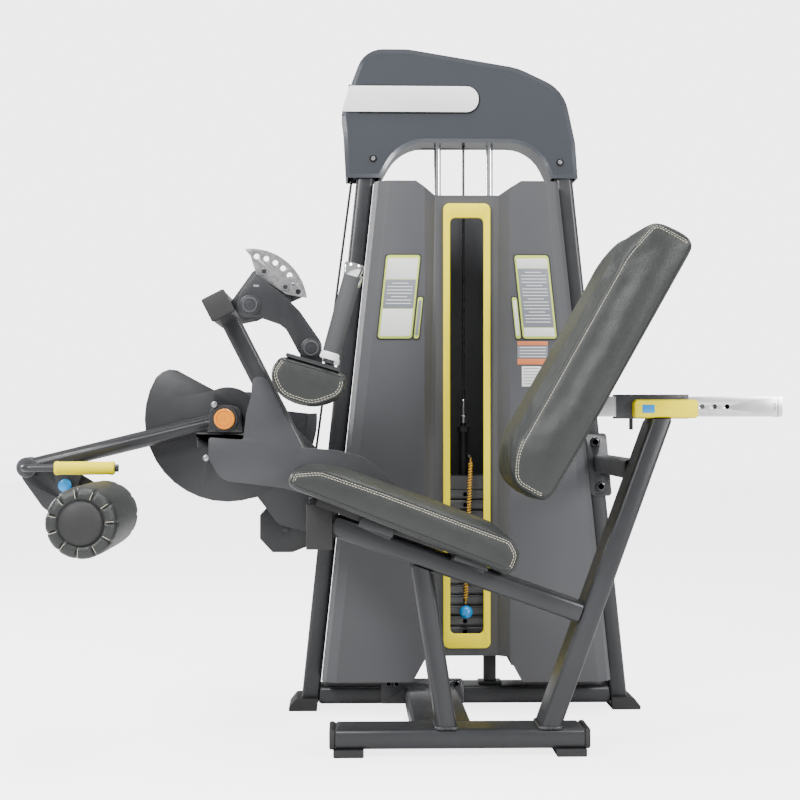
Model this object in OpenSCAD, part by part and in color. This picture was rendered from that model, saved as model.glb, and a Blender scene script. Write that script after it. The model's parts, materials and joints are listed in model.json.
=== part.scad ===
// Seated leg curl machine with a covered weight stack.
// X runs from the ankle roller to the backrest, Y from the user's near side to the tower's back, Z up.

/* [Frame tubes] */
// Width of the rectangular frame tubes
tube_w = 40; // [36:1:44]
// Depth of the rectangular frame tubes
tube_d = 100; // [96:1:104]
// Wall of the frame tubes
wall = 3; // [2:0.5:4]
// Height of the rubber feet under the base bar
foot_h = 15; // [12:1:18]

/* [Weight tower] */
// Height of the tower at the top of the shroud
tower_h = 1504; // [1480:2:1520]
// Distance between the leg centre lines at the floor
leg_spread = 708; // [700:2:720]
// Lean of each leg from upright, in degrees
leg_lean = 6; // [5.8:0.1:6.2]
// Depth of the shroud from front to back
shroud_d = 110; // [108:1:120]
// Depth of the two weight covers together
cover_d = 260; // [250:2:270]
// Diameter of the guide rods
rod_dia = 16; // [12:1:18]
// Distance between the guide rods
rod_gap = 120; // [110:2:130]

/* [Weight stack] */
// Number of plates lifted with the pin where it is
plates_selected = 12; // [4:1:12]
// Number of plates left resting
plates_resting = 3; // [1:1:3]
// Height that one plate takes in the stack
plate_pitch = 24; // [24:1:25]

/* [Seat] */
// Distance from the tower's middle plane to the seat's middle plane
seat_y = 545; // [540:1:550]
// Width of the seat pad
seat_pad_w = 330; // [300:2:330]
// Width of the backrest pad
back_pad_w = 300; // [260:2:310]
// Width of the thigh pad
thigh_pad_w = 284; // [240:2:284]

/* [Movement arm] */
// Radius at which the cable lies on the cam
cam_r = 180; // [176:1:181]
// Radius of the guard disc
disc_r = 177; // [170:1:177]
// Diameter of the pivot shaft
shaft_dia = 30; // [25:1:32]
// Diameter of the ankle roller
roller_dia = 138; // [120:2:138]
// Length of the ankle roller
roller_len = 352; // [300:2:352]

/* [Hidden] */
$fn = 64;

// Colours
steel = [0.22, 0.23, 0.24];
cover_grey = [0.36, 0.37, 0.39];
shroud_grey = [0.25, 0.28, 0.33];
silver = [0.80, 0.81, 0.83];
yellow = [0.93, 0.88, 0.35];
blue = [0.10, 0.52, 0.75];
vinyl = [0.20, 0.21, 0.20];
rubber = [0.08, 0.08, 0.08];
chrome = [0.85, 0.86, 0.88];

// Gaps: beside a running shaft, between a pin's tip and its hole, and between stacked plates
run_gap = 0.06;
tip_gap = 0.4;
plate_gap = 0.4;

// Seat side, all planes measured from the tower's middle plane
seat_mid = -seat_y;
tube_near = seat_mid - tube_d / 2;
tube_far = seat_mid + tube_d / 2;
base_top = foot_h + tube_w;
seat_lean = 19.54;
beam_start = [-297, 453.2];
beam_len = 560;
pad_u = [-108, 355];
pad_w = [47, 28];
front_post_foot = [-73, base_top];
front_post_lean = 8.8;
rear_post_foot = [131, base_top];
rear_post_lean = 20;
cross_x = [-349, -297];
cross_z = [407, 497];
base_bar_x = [-292, 198];
cap_len = 12;
side_cap_t = 8;

// Tower
tower_near = -50;
flange_t = 8;
leg_top = tower_h - 169;
beam_z = 14;
leg_w = tube_w / cos(leg_lean);
rod_x = rod_gap / 2;
post_h = 130;
bumper_h = 12;
stack_z = post_h + bumper_h;
head_t = 30;
selected_z = stack_z + plates_resting * plate_pitch;
head_z = selected_z + plates_selected * plate_pitch;
plate_size = [300, 110];
pin_z = selected_z + plate_pitch / 2;
stem_top = head_z + 130;
fitting_h = 38;
stem_r = 11;
pin_reach = stem_r + 4;
lanyard_top = [12, -72, stem_top - 58];
lanyard_foot = [0, -72, pin_z + 17];
cable_r = 3;
pulley_r = 45;
centre_pulley_at = [-pulley_r, tower_h - 104];
left_pulley_at = [-188, tower_h - 104];
lower_pulley_at = [-408, 411];

// Mechanism
pivot = [-523, 662];
shaft_r = shaft_dia / 2;
post_y = [-372, -332];
post_foot = [-323, cross_z[1]];
post_lean = 27.15;
crossbar_at = [-522, 885];
crossbar_w = 50;
crossbar_y = [seat_mid - 37, post_y[1]];
guard_y = [-376, -372];
far_plate_y = [-110, -102];
arm_y = -305;
arm_r = 17.5;
ring_at = [-941, 560];
ring_r = 21.5;
ring_bore = 15;
ring_y = [-332, -278];
roller_at = [-771, 466];
axle_r = 10;
roller_y = -360;
index_r = 90;
ankle_pin_angle = -24.6;
pin_r = 5;
grip_y = -373;

// Thigh hold-down
lever_pivot = [-460, 887];
lever_tip = [-340, 801.5];
lever_near = [seat_mid - 26, seat_mid - 20];
lever_far = [seat_mid + 20, seat_mid + 26];
sector_y = [seat_mid - 13, seat_mid - 5];
bracket_y = [seat_mid - 5, seat_mid + 5];
sector_r = 98;
hole_angles = [83, 71.5, 60, 49, 38, 27, 16];
pin_angle = 27;
lever_bolt_r = 10;

// Backrest
back_lean = 60.6;
slide_z = [667, 707];
slide_y = [seat_mid - 20, seat_mid + 20];
slide_end = 598;
housing_wall = 4;
lock_x = 362;
hole_pitch = 25;
housing_x = [265, 409];
back_v = [-258, -141];
back_u = [487, 1075];

// The model's own origin: the middle of the floor it covers
origin = [-182.25, -294];

function unit(v) = v / norm(v);
function quarter_turn(v) = [-v.y, v.x];
function flat(p) = [p[0], p[1]];
function polar(r, a) = r * [cos(a), sin(a)];
function along(p, d, s) = p + d * s;

// Points of the arc that rounds corner b, between corners a and c
function fillet(a, b, c, r, steps = 6) =
    let(u = unit(a - b), w = unit(c - b), half = acos(u * w) / 2)
    let(centre = b + unit(u + w) * r / sin(half))
    let(p0 = b + u * r / tan(half) - centre, p1 = b + w * r / tan(half) - centre)
    let(a0 = atan2(p0.y, p0.x), sweep = (atan2(p1.y, p1.x) - a0 + 540) % 360 - 180)
    [for (i = [0 : steps]) centre + polar(r, a0 + sweep * i / steps)];

// Outline through corners [x, y, radius], each rounded by its radius
function rounded(pts) =
    let(n = len(pts))
    [for (i = [0 : n - 1]) each
        pts[i][2] > 0
            ? fillet(flat(pts[(i + n - 1) % n]), flat(pts[i]), flat(pts[(i + 1) % n]), pts[i][2])
            : [flat(pts[i])]];

// The same corners moved inwards by t, for an outline listed anticlockwise
function inset(pts, t) =
    let(n = len(pts))
    [for (i = [0 : n - 1])
        let(a = flat(pts[(i + n - 1) % n]), b = flat(pts[i]), c = flat(pts[(i + 1) % n]))
        let(n1 = quarter_turn(unit(b - a)), n2 = quarter_turn(unit(c - b)))
        let(m = b + (n1 + n2) * t / (1 + n1 * n2), turn = cross(b - a, c - b) > 0 ? -t : t)
        [m.x, m.y, pts[i][2] > 0 ? max(1, pts[i][2] + turn) : 0]];

// A profile drawn in X and Z, from plane y0 to plane y1
module side(y0, y1) {
    translate([0, y1, 0])
        rotate([90, 0, 0])
            linear_extrude(y1 - y0)
                children();
}

// Cylinder along Y
module round_y(p, r, y0, y1) {
    translate([p.x, y0, p.y])
        rotate([-90, 0, 0])
            cylinder(h = y1 - y0, r = r);
}

// Cylinder between two points in X and Z, in plane y
module round_bar(a, b, r, y) {
    d = b - a;
    translate([a.x, y, a.y])
        rotate([0, 90 - atan2(d.y, d.x), 0])
            cylinder(h = norm(d), r = r);
}

// Rectangular tube from point a, running len at an angle in X and Z
module tube_run(a, angle, len, y0, y1, w = tube_w) {
    difference() {
        side(y0, y1)
            translate(a) rotate(angle) translate([0, -w / 2]) square([len, w]);
        side(y0 + wall, y1 - wall)
            translate(a) rotate(angle) translate([-1, wall - w / 2]) square([len + 2, w - 2 * wall]);
    }
}

// Leaning tube cut level at both ends
module leaning_tube(foot, top_z, lean, y0, y1) {
    run = (top_z - foot.y) * tan(lean);
    half = tube_w / 2 / cos(lean);
    inner = half - wall / cos(lean);
    difference() {
        side(y0, y1)
            polygon([
                foot - [half, 0],
                foot + [half, 0],
                [foot.x + run + half, top_z],
                [foot.x + run - half, top_z]
            ]);
        side(y0 + wall, y1 - wall)
            polygon([
                foot - [inner, 0] - [tan(lean), 1],
                foot + [inner, 0] - [tan(lean), 1],
                [foot.x + run + inner + tan(lean), top_z + 1],
                [foot.x + run - inner + tan(lean), top_z + 1]
            ]);
    }
}

// Rectangular tube along Y
module tube_y(x, z, y0, y1) {
    difference() {
        side(y0, y1) translate([x[0], z[0]]) square([x[1] - x[0], z[1] - z[0]]);
        side(y0 - 1, y1 + 1)
            translate([x[0] + wall, z[0] + wall])
                square([x[1] - x[0] - 2 * wall, z[1] - z[0] - 2 * wall]);
    }
}

module plate_xz(pts, y0, y1) {
    side(y0, y1) polygon(rounded(pts));
}

// Hexagon bolt head with its washer, standing out of plane y towards the near side
module bolt_head(p, y, r, h = 7) {
    washer_t = 2;
    round_y(p, r * 1.25, y - washer_t, y);
    translate([p.x, y - washer_t, p.y]) rotate([90, 30, 0]) cylinder(h = h, r = r, $fn = 6);
}

// ---- Seat-side frame ----
// Height of the seat pad's underside over the seat beam's centre line, u along the beam
function pad_floor(u) = pad_w[0] + (pad_w[1] - pad_w[0]) * (u - pad_u[0]) / (pad_u[1] - pad_u[0]);

module seat_beam_envelope() {
    side(tube_near - 1, tube_far + 1)
        translate(beam_start) rotate(-seat_lean) translate([0, -tube_w / 2]) square([beam_len, tube_w]);
}

module rear_post_envelope() {
    run = (800 - rear_post_foot.y) * tan(rear_post_lean);
    half = tube_w / 2 / cos(rear_post_lean);
    side(tube_near - 1, tube_far + 1)
        polygon([
            rear_post_foot - [half, 0],
            rear_post_foot + [300, 0],
            [rear_post_foot.x + run + 300, 800],
            [rear_post_foot.x + run - half, 800]
        ]);
}

module base_bar() {
    color(steel)
        tube_run([base_bar_x[0], foot_h + tube_w / 2], 0, base_bar_x[1] - base_bar_x[0], tube_near, tube_far);
}

module front_post() {
    color(steel)
        difference() {
            leaning_tube(front_post_foot, 420, -front_post_lean, tube_near, tube_far);
            seat_beam_envelope();
            side(tube_near - 1, tube_far + 1)
                translate(beam_start) rotate(-seat_lean) square([beam_len, 100]);
        }
}

module rear_post() {
    color(steel)
        leaning_tube(rear_post_foot, slide_z[0] - housing_wall, rear_post_lean, tube_near, tube_far);
}

module seat_beam() {
    color(steel) {
        difference() {
            tube_run(beam_start, -seat_lean, beam_len, tube_near, tube_far);
            rear_post_envelope();
            side(tube_near - 1, tube_far + 1) translate([cross_x[1] - 60, 350]) square([60, 200]);
        }
        for (u = [45, 240])
            side(seat_mid - 110, seat_mid + 110)
                translate(beam_start) rotate(-seat_lean)
                    polygon([
                        [u, tube_w / 2], [u + 70, tube_w / 2],
                        [u + 70, pad_floor(u + 70)], [u, pad_floor(u)]
                    ]);
    }
}

module cross_tube() {
    color(steel) {
        tube_y(cross_x, cross_z, tube_near, tower_near - flange_t);
        plate_xz(
            [[-355, 392, 8], [-293, 392, 8], [-291, 512, 8], [-355, 512, 8]],
            tower_near - flange_t, tower_near
        );
    }
}

module lower_tie_beam() {
    color(steel) {
        tube_y([-138, -18], [beam_z, beam_z + tube_w], tube_far, tower_near - flange_t);
        plate_xz(
            [[-191, 16, 4], [-3, 16, 4], [-3, 72, 10], [-191, 72, 10]],
            tower_near - flange_t, tower_near
        );
    }
}

module upper_tie_tube() {
    color(steel) {
        tube_y([293, 333], [540, 580], tube_far, tower_near - flange_t);
        plate_xz(
            [[288, 486, 8], [335, 486, 8], [322, 629, 8], [273, 629, 8]],
            tower_near - flange_t, tower_near
        );
    }
}

// Flange bolts, the sector's two flat bolts and the clamp bolt under the slide tube's housing
module frame_bolts() {
    flange_face = tower_near - flange_t;
    clamp_len = 22;
    color(silver) {
        for (x = [-174, -156, -38, -20])
            bolt_head([x, 62], flange_face, 6);
        for (p = [[296, 609], [309, 508]])
            bolt_head(p, flange_face, 8);
        for (p = [[-322, 505], [-322, 399]])
            bolt_head(p, flange_face, 5);
        for (p = [[27, 67], [69, 36]])
            bolt_head(lever_pivot + p, sector_y[0], 5, 2.5);
        translate([298, seat_mid, slide_z[0] - housing_wall - clamp_len])
            cylinder(h = clamp_len, r = 4);
    }
}

module end_caps() {
    color(rubber) {
        for (x = [base_bar_x[0] - cap_len, base_bar_x[1]])
            side(tube_near, tube_far) translate([x, foot_h]) square([cap_len, tube_w]);
        side(tube_near - side_cap_t, tube_near)
            translate([cross_x[0], cross_z[0]])
                square([cross_x[1] - cross_x[0], cross_z[1] - cross_z[0]]);
        side(crossbar_y[0] - side_cap_t, crossbar_y[0])
            translate(crossbar_at) rotate(post_lean) square(crossbar_w, center = true);
    }
    color("orange") round_y(pivot, 21, guard_y[0] - 14, guard_y[0]);
}

module rubber_feet() {
    color(rubber) {
        for (x = [-296, 142])
            side(tube_near - 6, tube_far + 6)
                polygon(rounded([[x, 0, 3], [x + 60, 0, 3], [x + 60, foot_h, 0], [x, foot_h, 0]]));
        for (s = [0, 1])
            mirror([s, 0, 0])
                difference() {
                    side(tower_near - 10, 60)
                        polygon(rounded([
                            [-400, 0, 3], [-336, 0, 0], [-334, 28, 0], [-384, 28, 8], [-400, 8, 4]
                        ]));
                    leg_envelope();
                }
    }
}

// ---- Weight tower ----
// Distance of a leg's centre line, and of its outer face, from the tower's centre at height z
function leg_x(z) = leg_spread / 2 - z * tan(leg_lean);
function leg_out(z) = leg_x(z) + leg_w / 2;

module leg_envelope() {
    mirror([1, 0, 0])
        side(tower_near, -tower_near)
            polygon([
                [leg_x(beam_z) - leg_w / 2, beam_z],
                [leg_x(beam_z) + leg_w / 2, beam_z],
                [leg_x(leg_top) + leg_w / 2, leg_top],
                [leg_x(leg_top) - leg_w / 2, leg_top]
            ]);
}

module tower_leg_right() {
    color(steel)
        leaning_tube([leg_x(beam_z), beam_z], leg_top, -leg_lean, tower_near, -tower_near);
}

module tower_leg_left() {
    mirror([1, 0, 0]) tower_leg_right();
}

// Level beam between the legs, cut to their lean
module tower_beam(z, h, y0, y1) {
    inner = leg_w / 2;
    difference() {
        side(y0, y1)
            polygon([
                [-leg_x(z) + inner, z], [leg_x(z) - inner, z],
                [leg_x(z + h) - inner, z + h], [-leg_x(z + h) + inner, z + h]
            ]);
        side(y0 + wall, y1 - wall)
            translate([-400, z + wall]) square([800, h - 2 * wall]);
    }
}

module tower_base_beam() {
    color(steel) tower_beam(beam_z, tube_w, tower_near, -tower_near);
}

module tower_top_beam() {
    color(steel)
        difference() {
            tower_beam(leg_top - 38, 38, -40, 40);
            translate([0, 0, leg_top - 60]) cylinder(h = 80, r = 8);
        }
}

module stack_posts() {
    color(steel)
        for (x = [-rod_x, rod_x])
            translate([x, 0, base_top - 1]) {
                translate([-26, -26, 0]) cube([52, 52, 6]);
                translate([0, 0, 6])
                    difference() {
                        translate([-14, -14, 0]) cube([28, 28, post_h - base_top - 5]);
                        translate([-11, -11, -1]) cube([22, 22, post_h - base_top]);
                    }
            }
}

module guide_rods() {
    color(chrome)
        for (x = [-rod_x, rod_x])
            translate([x, 0, base_top + 5]) cylinder(h = leg_top - 38 - base_top - 5, r = rod_dia / 2);
}

module stack_bumpers() {
    color(rubber)
        for (x = [-rod_x, rod_x])
            translate([x, 0, post_h])
                difference() {
                    cylinder(h = bumper_h, r = 20);
                    translate([0, 0, -1]) cylinder(h = bumper_h + 2, r = rod_dia / 2 + run_gap);
                }
}

// One weight plate with its guide holes, centre hole and pin hole
module weight_plate(z, centre_r) {
    h = plate_pitch - plate_gap;
    difference() {
        translate([-plate_size.x / 2, -plate_size.y / 2, z]) cube([plate_size.x, plate_size.y, h]);
        for (x = [-rod_x, rod_x])
            translate([x, 0, z - 1]) cylinder(h = h + 2, r = rod_dia / 2 + run_gap);
        translate([0, 0, z - 1]) cylinder(h = h + 2, r = centre_r);
        translate([0, -plate_size.y / 2 - 1, z + plate_pitch / 2]) rotate([-90, 0, 0])
            cylinder(h = plate_size.y / 2 + 1 + pin_reach + 2, r = pin_r + run_gap);
    }
}

module resting_plates() {
    color(steel)
        for (i = [0 : plates_resting - 1])
            weight_plate(stack_z + i * plate_pitch, stem_r + 1);
}

module selected_plates() {
    color(steel)
        for (i = [0 : plates_selected - 1])
            weight_plate(selected_z + i * plate_pitch, stem_r + run_gap);
}

// Head plate with the drilled stem, the cable fitting on top and the lanyard's eye rod in front
module selector_stem() {
    color(steel)
        difference() {
            union() {
                translate([-plate_size.x / 2, -plate_size.y / 2, head_z])
                    cube([plate_size.x, plate_size.y, head_t]);
                translate([0, 0, stack_z + 6]) cylinder(h = stem_top - stack_z - 6, r = stem_r);
                translate([0, 0, stem_top]) cylinder(h = 12, r = 15, $fn = 6);
                translate([0, 0, stem_top + 12]) cylinder(h = fitting_h - 12, r = 7);
                round_y([8, lanyard_top.z + 3.5], 3, lanyard_top.y - 4, 0);
            }
            for (x = [-rod_x, rod_x])
                translate([x, 0, head_z - 1]) cylinder(h = head_t + 2, r = rod_dia / 2 + run_gap);
            for (i = [1 - plates_resting : plates_selected - 1])
                translate([0, -stem_r - 1, pin_z + i * plate_pitch]) rotate([-90, 0, 0])
                    cylinder(h = 2 * stem_r + 2, r = pin_r + run_gap);
        }
}

module stack_cable() {
    color(rubber)
        translate([0, 0, stem_top + fitting_h])
            cylinder(h = centre_pulley_at.y - stem_top - fitting_h, r = cable_r);
}

// The curly cord's outer shape, from the head plate down to the selector pin
module lanyard() {
    d = lanyard_top - lanyard_foot;
    color(yellow)
        translate(lanyard_foot)
            rotate([0, atan2(d.x, d.z), 0])
                cylinder(h = norm(d), r = 5.5);
}

module selector_pin() {
    color(blue) {
        round_y([0, pin_z], pin_r, -70, pin_reach);
        round_y([0, pin_z], 9, -78, -plate_size.y / 2 - 3);
        translate([0, -86, pin_z]) sphere(r = 15);
    }
}

// Half cover seen from the front, its sides held t inside the outer face
module cover_front_view(t, side_in) {
    foot_z = 75;
    top_z = tower_h - 310;
    gap = leg_w / 2 + 1 + t + side_in;
    polygon([
        [-leg_x(foot_z) + gap, foot_z], [leg_x(foot_z) - gap, foot_z],
        [leg_x(top_z) - gap, top_z], [-leg_x(top_z) + gap, top_z]
    ]);
}

module cover_form(t) {
    front = cover_d / 2 - t;
    difference() {
        hull() {
            side(-front, 1 - front) cover_front_view(t, 32);
            side(-front + 12, -front + 13) cover_front_view(t, 10);
            side(-front + 32, t > 0 ? -7 : -9) cover_front_view(t, 0);
        }
        translate([0, 0, -1])
            linear_extrude(tower_h)
                polygon([
                    [-97 - t, -cover_d / 2 - 1], [97 + t, -cover_d / 2 - 1],
                    [70 + t, -cover_d / 2 + 25 + t], [-70 - t, -cover_d / 2 + 25 + t]
                ]);
    }
}

module cover_shell() {
    difference() {
        cover_form(0);
        difference() {
            translate([0, 0, -10]) cover_form(4);
            translate([-400, -400, 0]) cube([800, 800, 60]);
        }
        translate([0, 0, 10]) cover_form(4);
        side(-cover_d, 0)
            polygon([[-123, 74], [123, 74], [92, 130], [-92, 130]]);
        side(-cover_d, 0)
            polygon([
                [-116, tower_h - 309], [-72, tower_h - 340],
                [72, tower_h - 340], [122, tower_h - 309]
            ]);
    }
}

window = [[-38, 180, 12], [38, 180, 12], [38, tower_h - 391, 12], [-38, tower_h - 391, 12]];

module front_cover() {
    color(cover_grey)
        difference() {
            cover_shell();
            plate_xz(window, -cover_d, -60);
        }
}

module rear_cover() {
    color(cover_grey)
        mirror([0, 1, 0]) cover_shell();
}

module window_frame() {
    face = -cover_d / 2 + 25;
    color(yellow)
        difference() {
            plate_xz(
                [[-53, 148, 14], [53, 148, 14], [53, tower_h - 359, 14], [-53, tower_h - 359, 14]],
                face - 9, face
            );
            plate_xz(inset(window, 0.5), face - 10, face + 1);
        }
}

shroud_line = [
    [258, tower_h - 294, 0], [252, tower_h - 212, 120], [226, tower_h - 92, 90],
    [120, tower_h - 42, 160], [-130, tower_h - 1, 140], [-229, tower_h - 1, 60],
    [-262, tower_h - 89, 40], [-281, tower_h - 152, 10], [-277, tower_h - 184, 60],
    [-271, tower_h - 294, 0], [-191, tower_h - 294, 0], [-146, tower_h - 213, 95],
    [158, tower_h - 213, 90], [197, tower_h - 294, 0]
];

// One half of the shroud, open below round each leg, guide rod and cable
module shroud_shell() {
    depth = shroud_d / 2;
    rod_clear = 1;
    cable_clear = 3;
    difference() {
        plate_xz(shroud_line, -depth, -0.2);
        plate_xz(inset(shroud_line, wall), wall - depth, 1);
        for (x = [[-267, -196], [200, 254]])
            translate([x[0], wall - depth, tower_h - 300]) cube([x[1] - x[0], depth, 20]);
        for (x = [-rod_x, rod_x])
            translate([x, 0, tower_h - 220]) cylinder(h = 20, r = rod_dia / 2 + rod_clear);
        translate([0, 0, tower_h - 220]) cylinder(h = 20, r = cable_r + cable_clear);
    }
}

module front_shroud() {
    color(shroud_grey) shroud_shell();
}

module rear_shroud() {
    color(shroud_grey) mirror([0, 1, 0]) shroud_shell();
}

// Trim band round the shroud's left shoulder
module shroud_stripe() {
    skin = 2;
    depth = shroud_d / 2 + skin;
    color(silver)
        intersection() {
            difference() {
                plate_xz(inset(shroud_line, -skin), -depth, depth);
                plate_xz(shroud_line, -shroud_d / 2, shroud_d / 2);
            }
            plate_xz(
                [
                    [-300, tower_h - 144, 0], [31, tower_h - 144, 28],
                    [31, tower_h - 85, 28], [-300, tower_h - 85, 0]
                ],
                -depth - 1, depth + 1
            );
        }
}

// ---- Mechanism ----
module mechanism_post() {
    top = crossbar_at - polar(crossbar_w / 2, 90 + post_lean);
    color(steel) {
        difference() {
            leaning_tube(post_foot, 900, -post_lean, post_y[0], post_y[1]);
            side(post_y[0] - 1, post_y[1] + 1)
                translate(top) rotate(post_lean) translate([-100, 0]) square([200, 200]);
        }
        side(crossbar_y[0], crossbar_y[1])
            translate(crossbar_at) rotate(post_lean)
                difference() {
                    square(crossbar_w, center = true);
                    square(crossbar_w - 2 * wall, center = true);
                }
        side(post_y[0], post_y[1]) translate([-582, 622]) square([170, 12]);
        plate_xz(
            [[-582, 634, 0], [-582, 602, 4], [-530, 602, 4], [-410, 545, 4], [-380, 560, 0], [-418, 634, 0]],
            post_y[0] + 16, post_y[0] + 22
        );
    }
}

module thigh_bracket() {
    color(steel)
        translate([lever_pivot.x, 0, lever_pivot.y])
            difference() {
                union() {
                    plate_xz(
                        [
                            [-39, 8, 0], [-16, -36, 0], [14, -30, 14], [80, 6, 10],
                            [78, 38, 8], [34, 82, 8], [4, 68, 8]
                        ],
                        bracket_y[0], bracket_y[1]
                    );
                    round_y([0, 0], 18, lever_near[1] + 1, lever_far[0] - 1);
                }
                round_y([0, 0], lever_bolt_r + run_gap, -700, -400);
            }
}

module sector_plate() {
    outline = concat(
        [for (a = [8 : 8 : 96]) polar(sector_r + 15, a)],
        [[0, 98], [12, 60], [70, 22], [108, 16]]
    );
    color(chrome)
        translate([lever_pivot.x, 0, lever_pivot.y])
            difference() {
                side(sector_y[0], sector_y[1]) polygon(outline);
                for (a = hole_angles)
                    round_y(polar(sector_r, a), 5.5, -700, -400);
            }
}

module near_guard() {
    color(cover_grey)
        plate_xz(
            [
                [-152, 498, 0], [-156, 512, 10], [-193, 551, 60], [-235, 583, 60], [-290, 597, 60],
                [-365, 603, 8], [-434, 744, 24], [-466, 756, 14], [-468, 712, 20], [-479, 673, 20],
                [-485, 619, 6], [-557, 624, 6], [-557, 580, 20], [-530, 534, 40], [-400, 518, 60],
                [-330, 498, 40]
            ],
            guard_y[0], guard_y[1]
        );
}

module bearings() {
    color(steel) {
        difference() {
            union() {
                plate_xz(
                    [
                        [-560, 634, 2], [-486, 634, 2], [-490, 652, 6],
                        [-492, 690, 18], [-554, 690, 18], [-556, 652, 6]
                    ],
                    post_y[0] + 1, post_y[1] - 2
                );
                round_y(pivot, 27, guard_y[0], post_y[0] + 2);
            }
            round_y(pivot, shaft_r + run_gap, -400, -300);
        }
        difference() {
            union() {
                round_y(pivot, 46, far_plate_y[1], far_plate_y[1] + 10);
                round_y(pivot, 32, far_plate_y[1] + 9, far_plate_y[1] + 34);
            }
            round_y(pivot, shaft_r + run_gap, -120, 0);
        }
    }
}

module far_support_plate() {
    color(steel)
        difference() {
            plate_xz([
                [-349, 407, 0], [-349, 497, 0], [-297, 497, 0], [-297, 560, 20],
                [-470, 722, 40], [-560, 722, 50], [-580, 630, 50], [-420, 425, 30]
            ], far_plate_y[0], far_plate_y[1]);
            round_y(pivot, 26, -120, -90);
        }
}

// Pulley turning about Y, its groove floor just inside the cable
module pulley(p) {
    floor_r = pulley_r - cable_r - 0.3;
    rim = pulley_r + 3;
    color(steel)
        translate([p.x, 0, p.y])
            rotate([90, 0, 0])
                rotate_extrude()
                    polygon([
                        [8 + run_gap, -11], [16, -11], [16, -7], [34, -7], [36, -10], [rim, -10], [rim, -7],
                        [floor_r, -3.6], [floor_r, 3.6], [rim, 7], [rim, 10], [36, 10], [34, 7], [16, 7],
                        [16, 11], [8 + run_gap, 11]
                    ]);
}

module centre_pulley() {
    pulley(centre_pulley_at);
}

module left_pulley() {
    pulley(left_pulley_at);
}

module lower_pulley() {
    pulley(lower_pulley_at);
}

module pulley_brackets() {
    top = centre_pulley_at.y + 26;
    color(steel) {
        for (y = [-20, 14])
            plate_xz([[-222, leg_top, 0], [-12, leg_top, 0], [-12, top, 20], [-222, top, 20]], y, y + 6);
        for (y = [-26, 20])
            plate_xz([
                [-467, 388, 4], [-438, 357, 4], [-392, 357, 4],
                [-leg_out(380), 380, 0], [-leg_out(444), 444, 0],
                [-392, 474, 4], [-438, 474, 4], [-467, 442, 4]
            ], y, y + 6);
        for (p = [centre_pulley_at, left_pulley_at, lower_pulley_at])
            round_y(p, 8, -30, 30);
    }
}

// Points of a circle's arc about p
function arc_points(p, r, from, to, steps) =
    [for (i = [0 : steps]) p + polar(r, from + (to - from) * i / steps)];

// Round tube whose centre line runs through a list of points in X and Z, in plane Y = 0
module swept_tube(route, r, sides = 8) {
    n = len(route);
    points = [
        for (i = [0 : n - 1])
            let(ahead = unit(route[min(i + 1, n - 1)] - route[max(i - 1, 0)]), across = quarter_turn(ahead))
            for (k = [0 : sides - 1])
                let(c = route[i] + across * r * cos(k * 360 / sides))
                [c.x, r * sin(k * 360 / sides), c.y]
    ];
    walls = [
        for (i = [0 : n - 2], k = [0 : sides - 1])
            let(a = i * sides + k, b = i * sides + (k + 1) % sides)
            each [[a, b, b + sides], [a, b + sides, a + sides]]
    ];
    first = [for (k = [sides - 1 : -1 : 0]) k];
    last = [for (k = [0 : sides - 1]) (n - 1) * sides + k];
    polyhedron(points, concat([first], walls, [last]));
}

// Directions of the two straight runs that meet the lower pulley, and where the second meets the cam
run_down = left_pulley_at - lower_pulley_at;
down_tilt = atan2(run_down.y, run_down.x) + asin(2 * pulley_r / norm(run_down));
run_up = pivot - lower_pulley_at;
up_tilt = atan2(run_up.y, run_up.x) - asin((pulley_r + cam_r) / norm(run_up));
cam_meet = pivot + polar(cam_r, up_tilt - 90);

// Cable from the centre pulley over the left pulley, down and under the lower pulley and up to the cam
module lifting_cable() {
    color(rubber)
        swept_tube(concat(
            arc_points(centre_pulley_at, pulley_r, 1, 90, 8),
            arc_points(left_pulley_at, pulley_r, 90, down_tilt + 90, 8),
            arc_points(lower_pulley_at, pulley_r, down_tilt - 90, up_tilt - 270, 18),
            [along(cam_meet, -polar(1, up_tilt), 3)]
        ), cable_r);
}

// ---- Movement arm ----
module pivot_shaft() {
    color(chrome) round_y(pivot, shaft_r, -375, 26);
}

module arm_tube() {
    dir = unit(ring_at - pivot);
    pin_at = ring_at + polar(index_r, ankle_pin_angle);
    color(steel)
        difference() {
            union() {
                round_y(pivot, 30, -328, -270);
                round_bar(along(pivot, dir, 20), along(ring_at, dir, -8), arm_r, arm_y);
                round_y(ring_at, ring_r, ring_y[0], ring_y[1]);
                plate_xz(
                    [
                        [pin_at.x - 34, 575, 0], [pin_at.x - 20, 508, 14],
                        [pin_at.x + 20, 508, 14], [pin_at.x + 44, 590, 0]
                    ],
                    arm_y - 5, arm_y + 5
                );
                round_y(pin_at, 11, arm_y - 14, arm_y + 8);
            }
            round_y(pivot, shaft_r, -400, -200);
            round_y(ring_at, ring_bore, -400, -200);
            round_y(pin_at, pin_r + run_gap, -400, -200);
        }
}

module arm_disc() {
    rim = [for (a = [150 : 10 : 330]) polar(disc_r, a)];
    color(steel)
        translate([pivot.x, 0, pivot.y])
            difference() {
                union() {
                    side(-281, -275)
                        polygon(concat(
                            rim, [[60, -20], [0, 60], [-30, 62], [-108, 104], [-125, 106], [-140, 100]]
                        ));
                    round_y([0, 0], 68, -281, -275);
                }
                round_y([0, 0], 30, -300, -270);
            }
}

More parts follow.
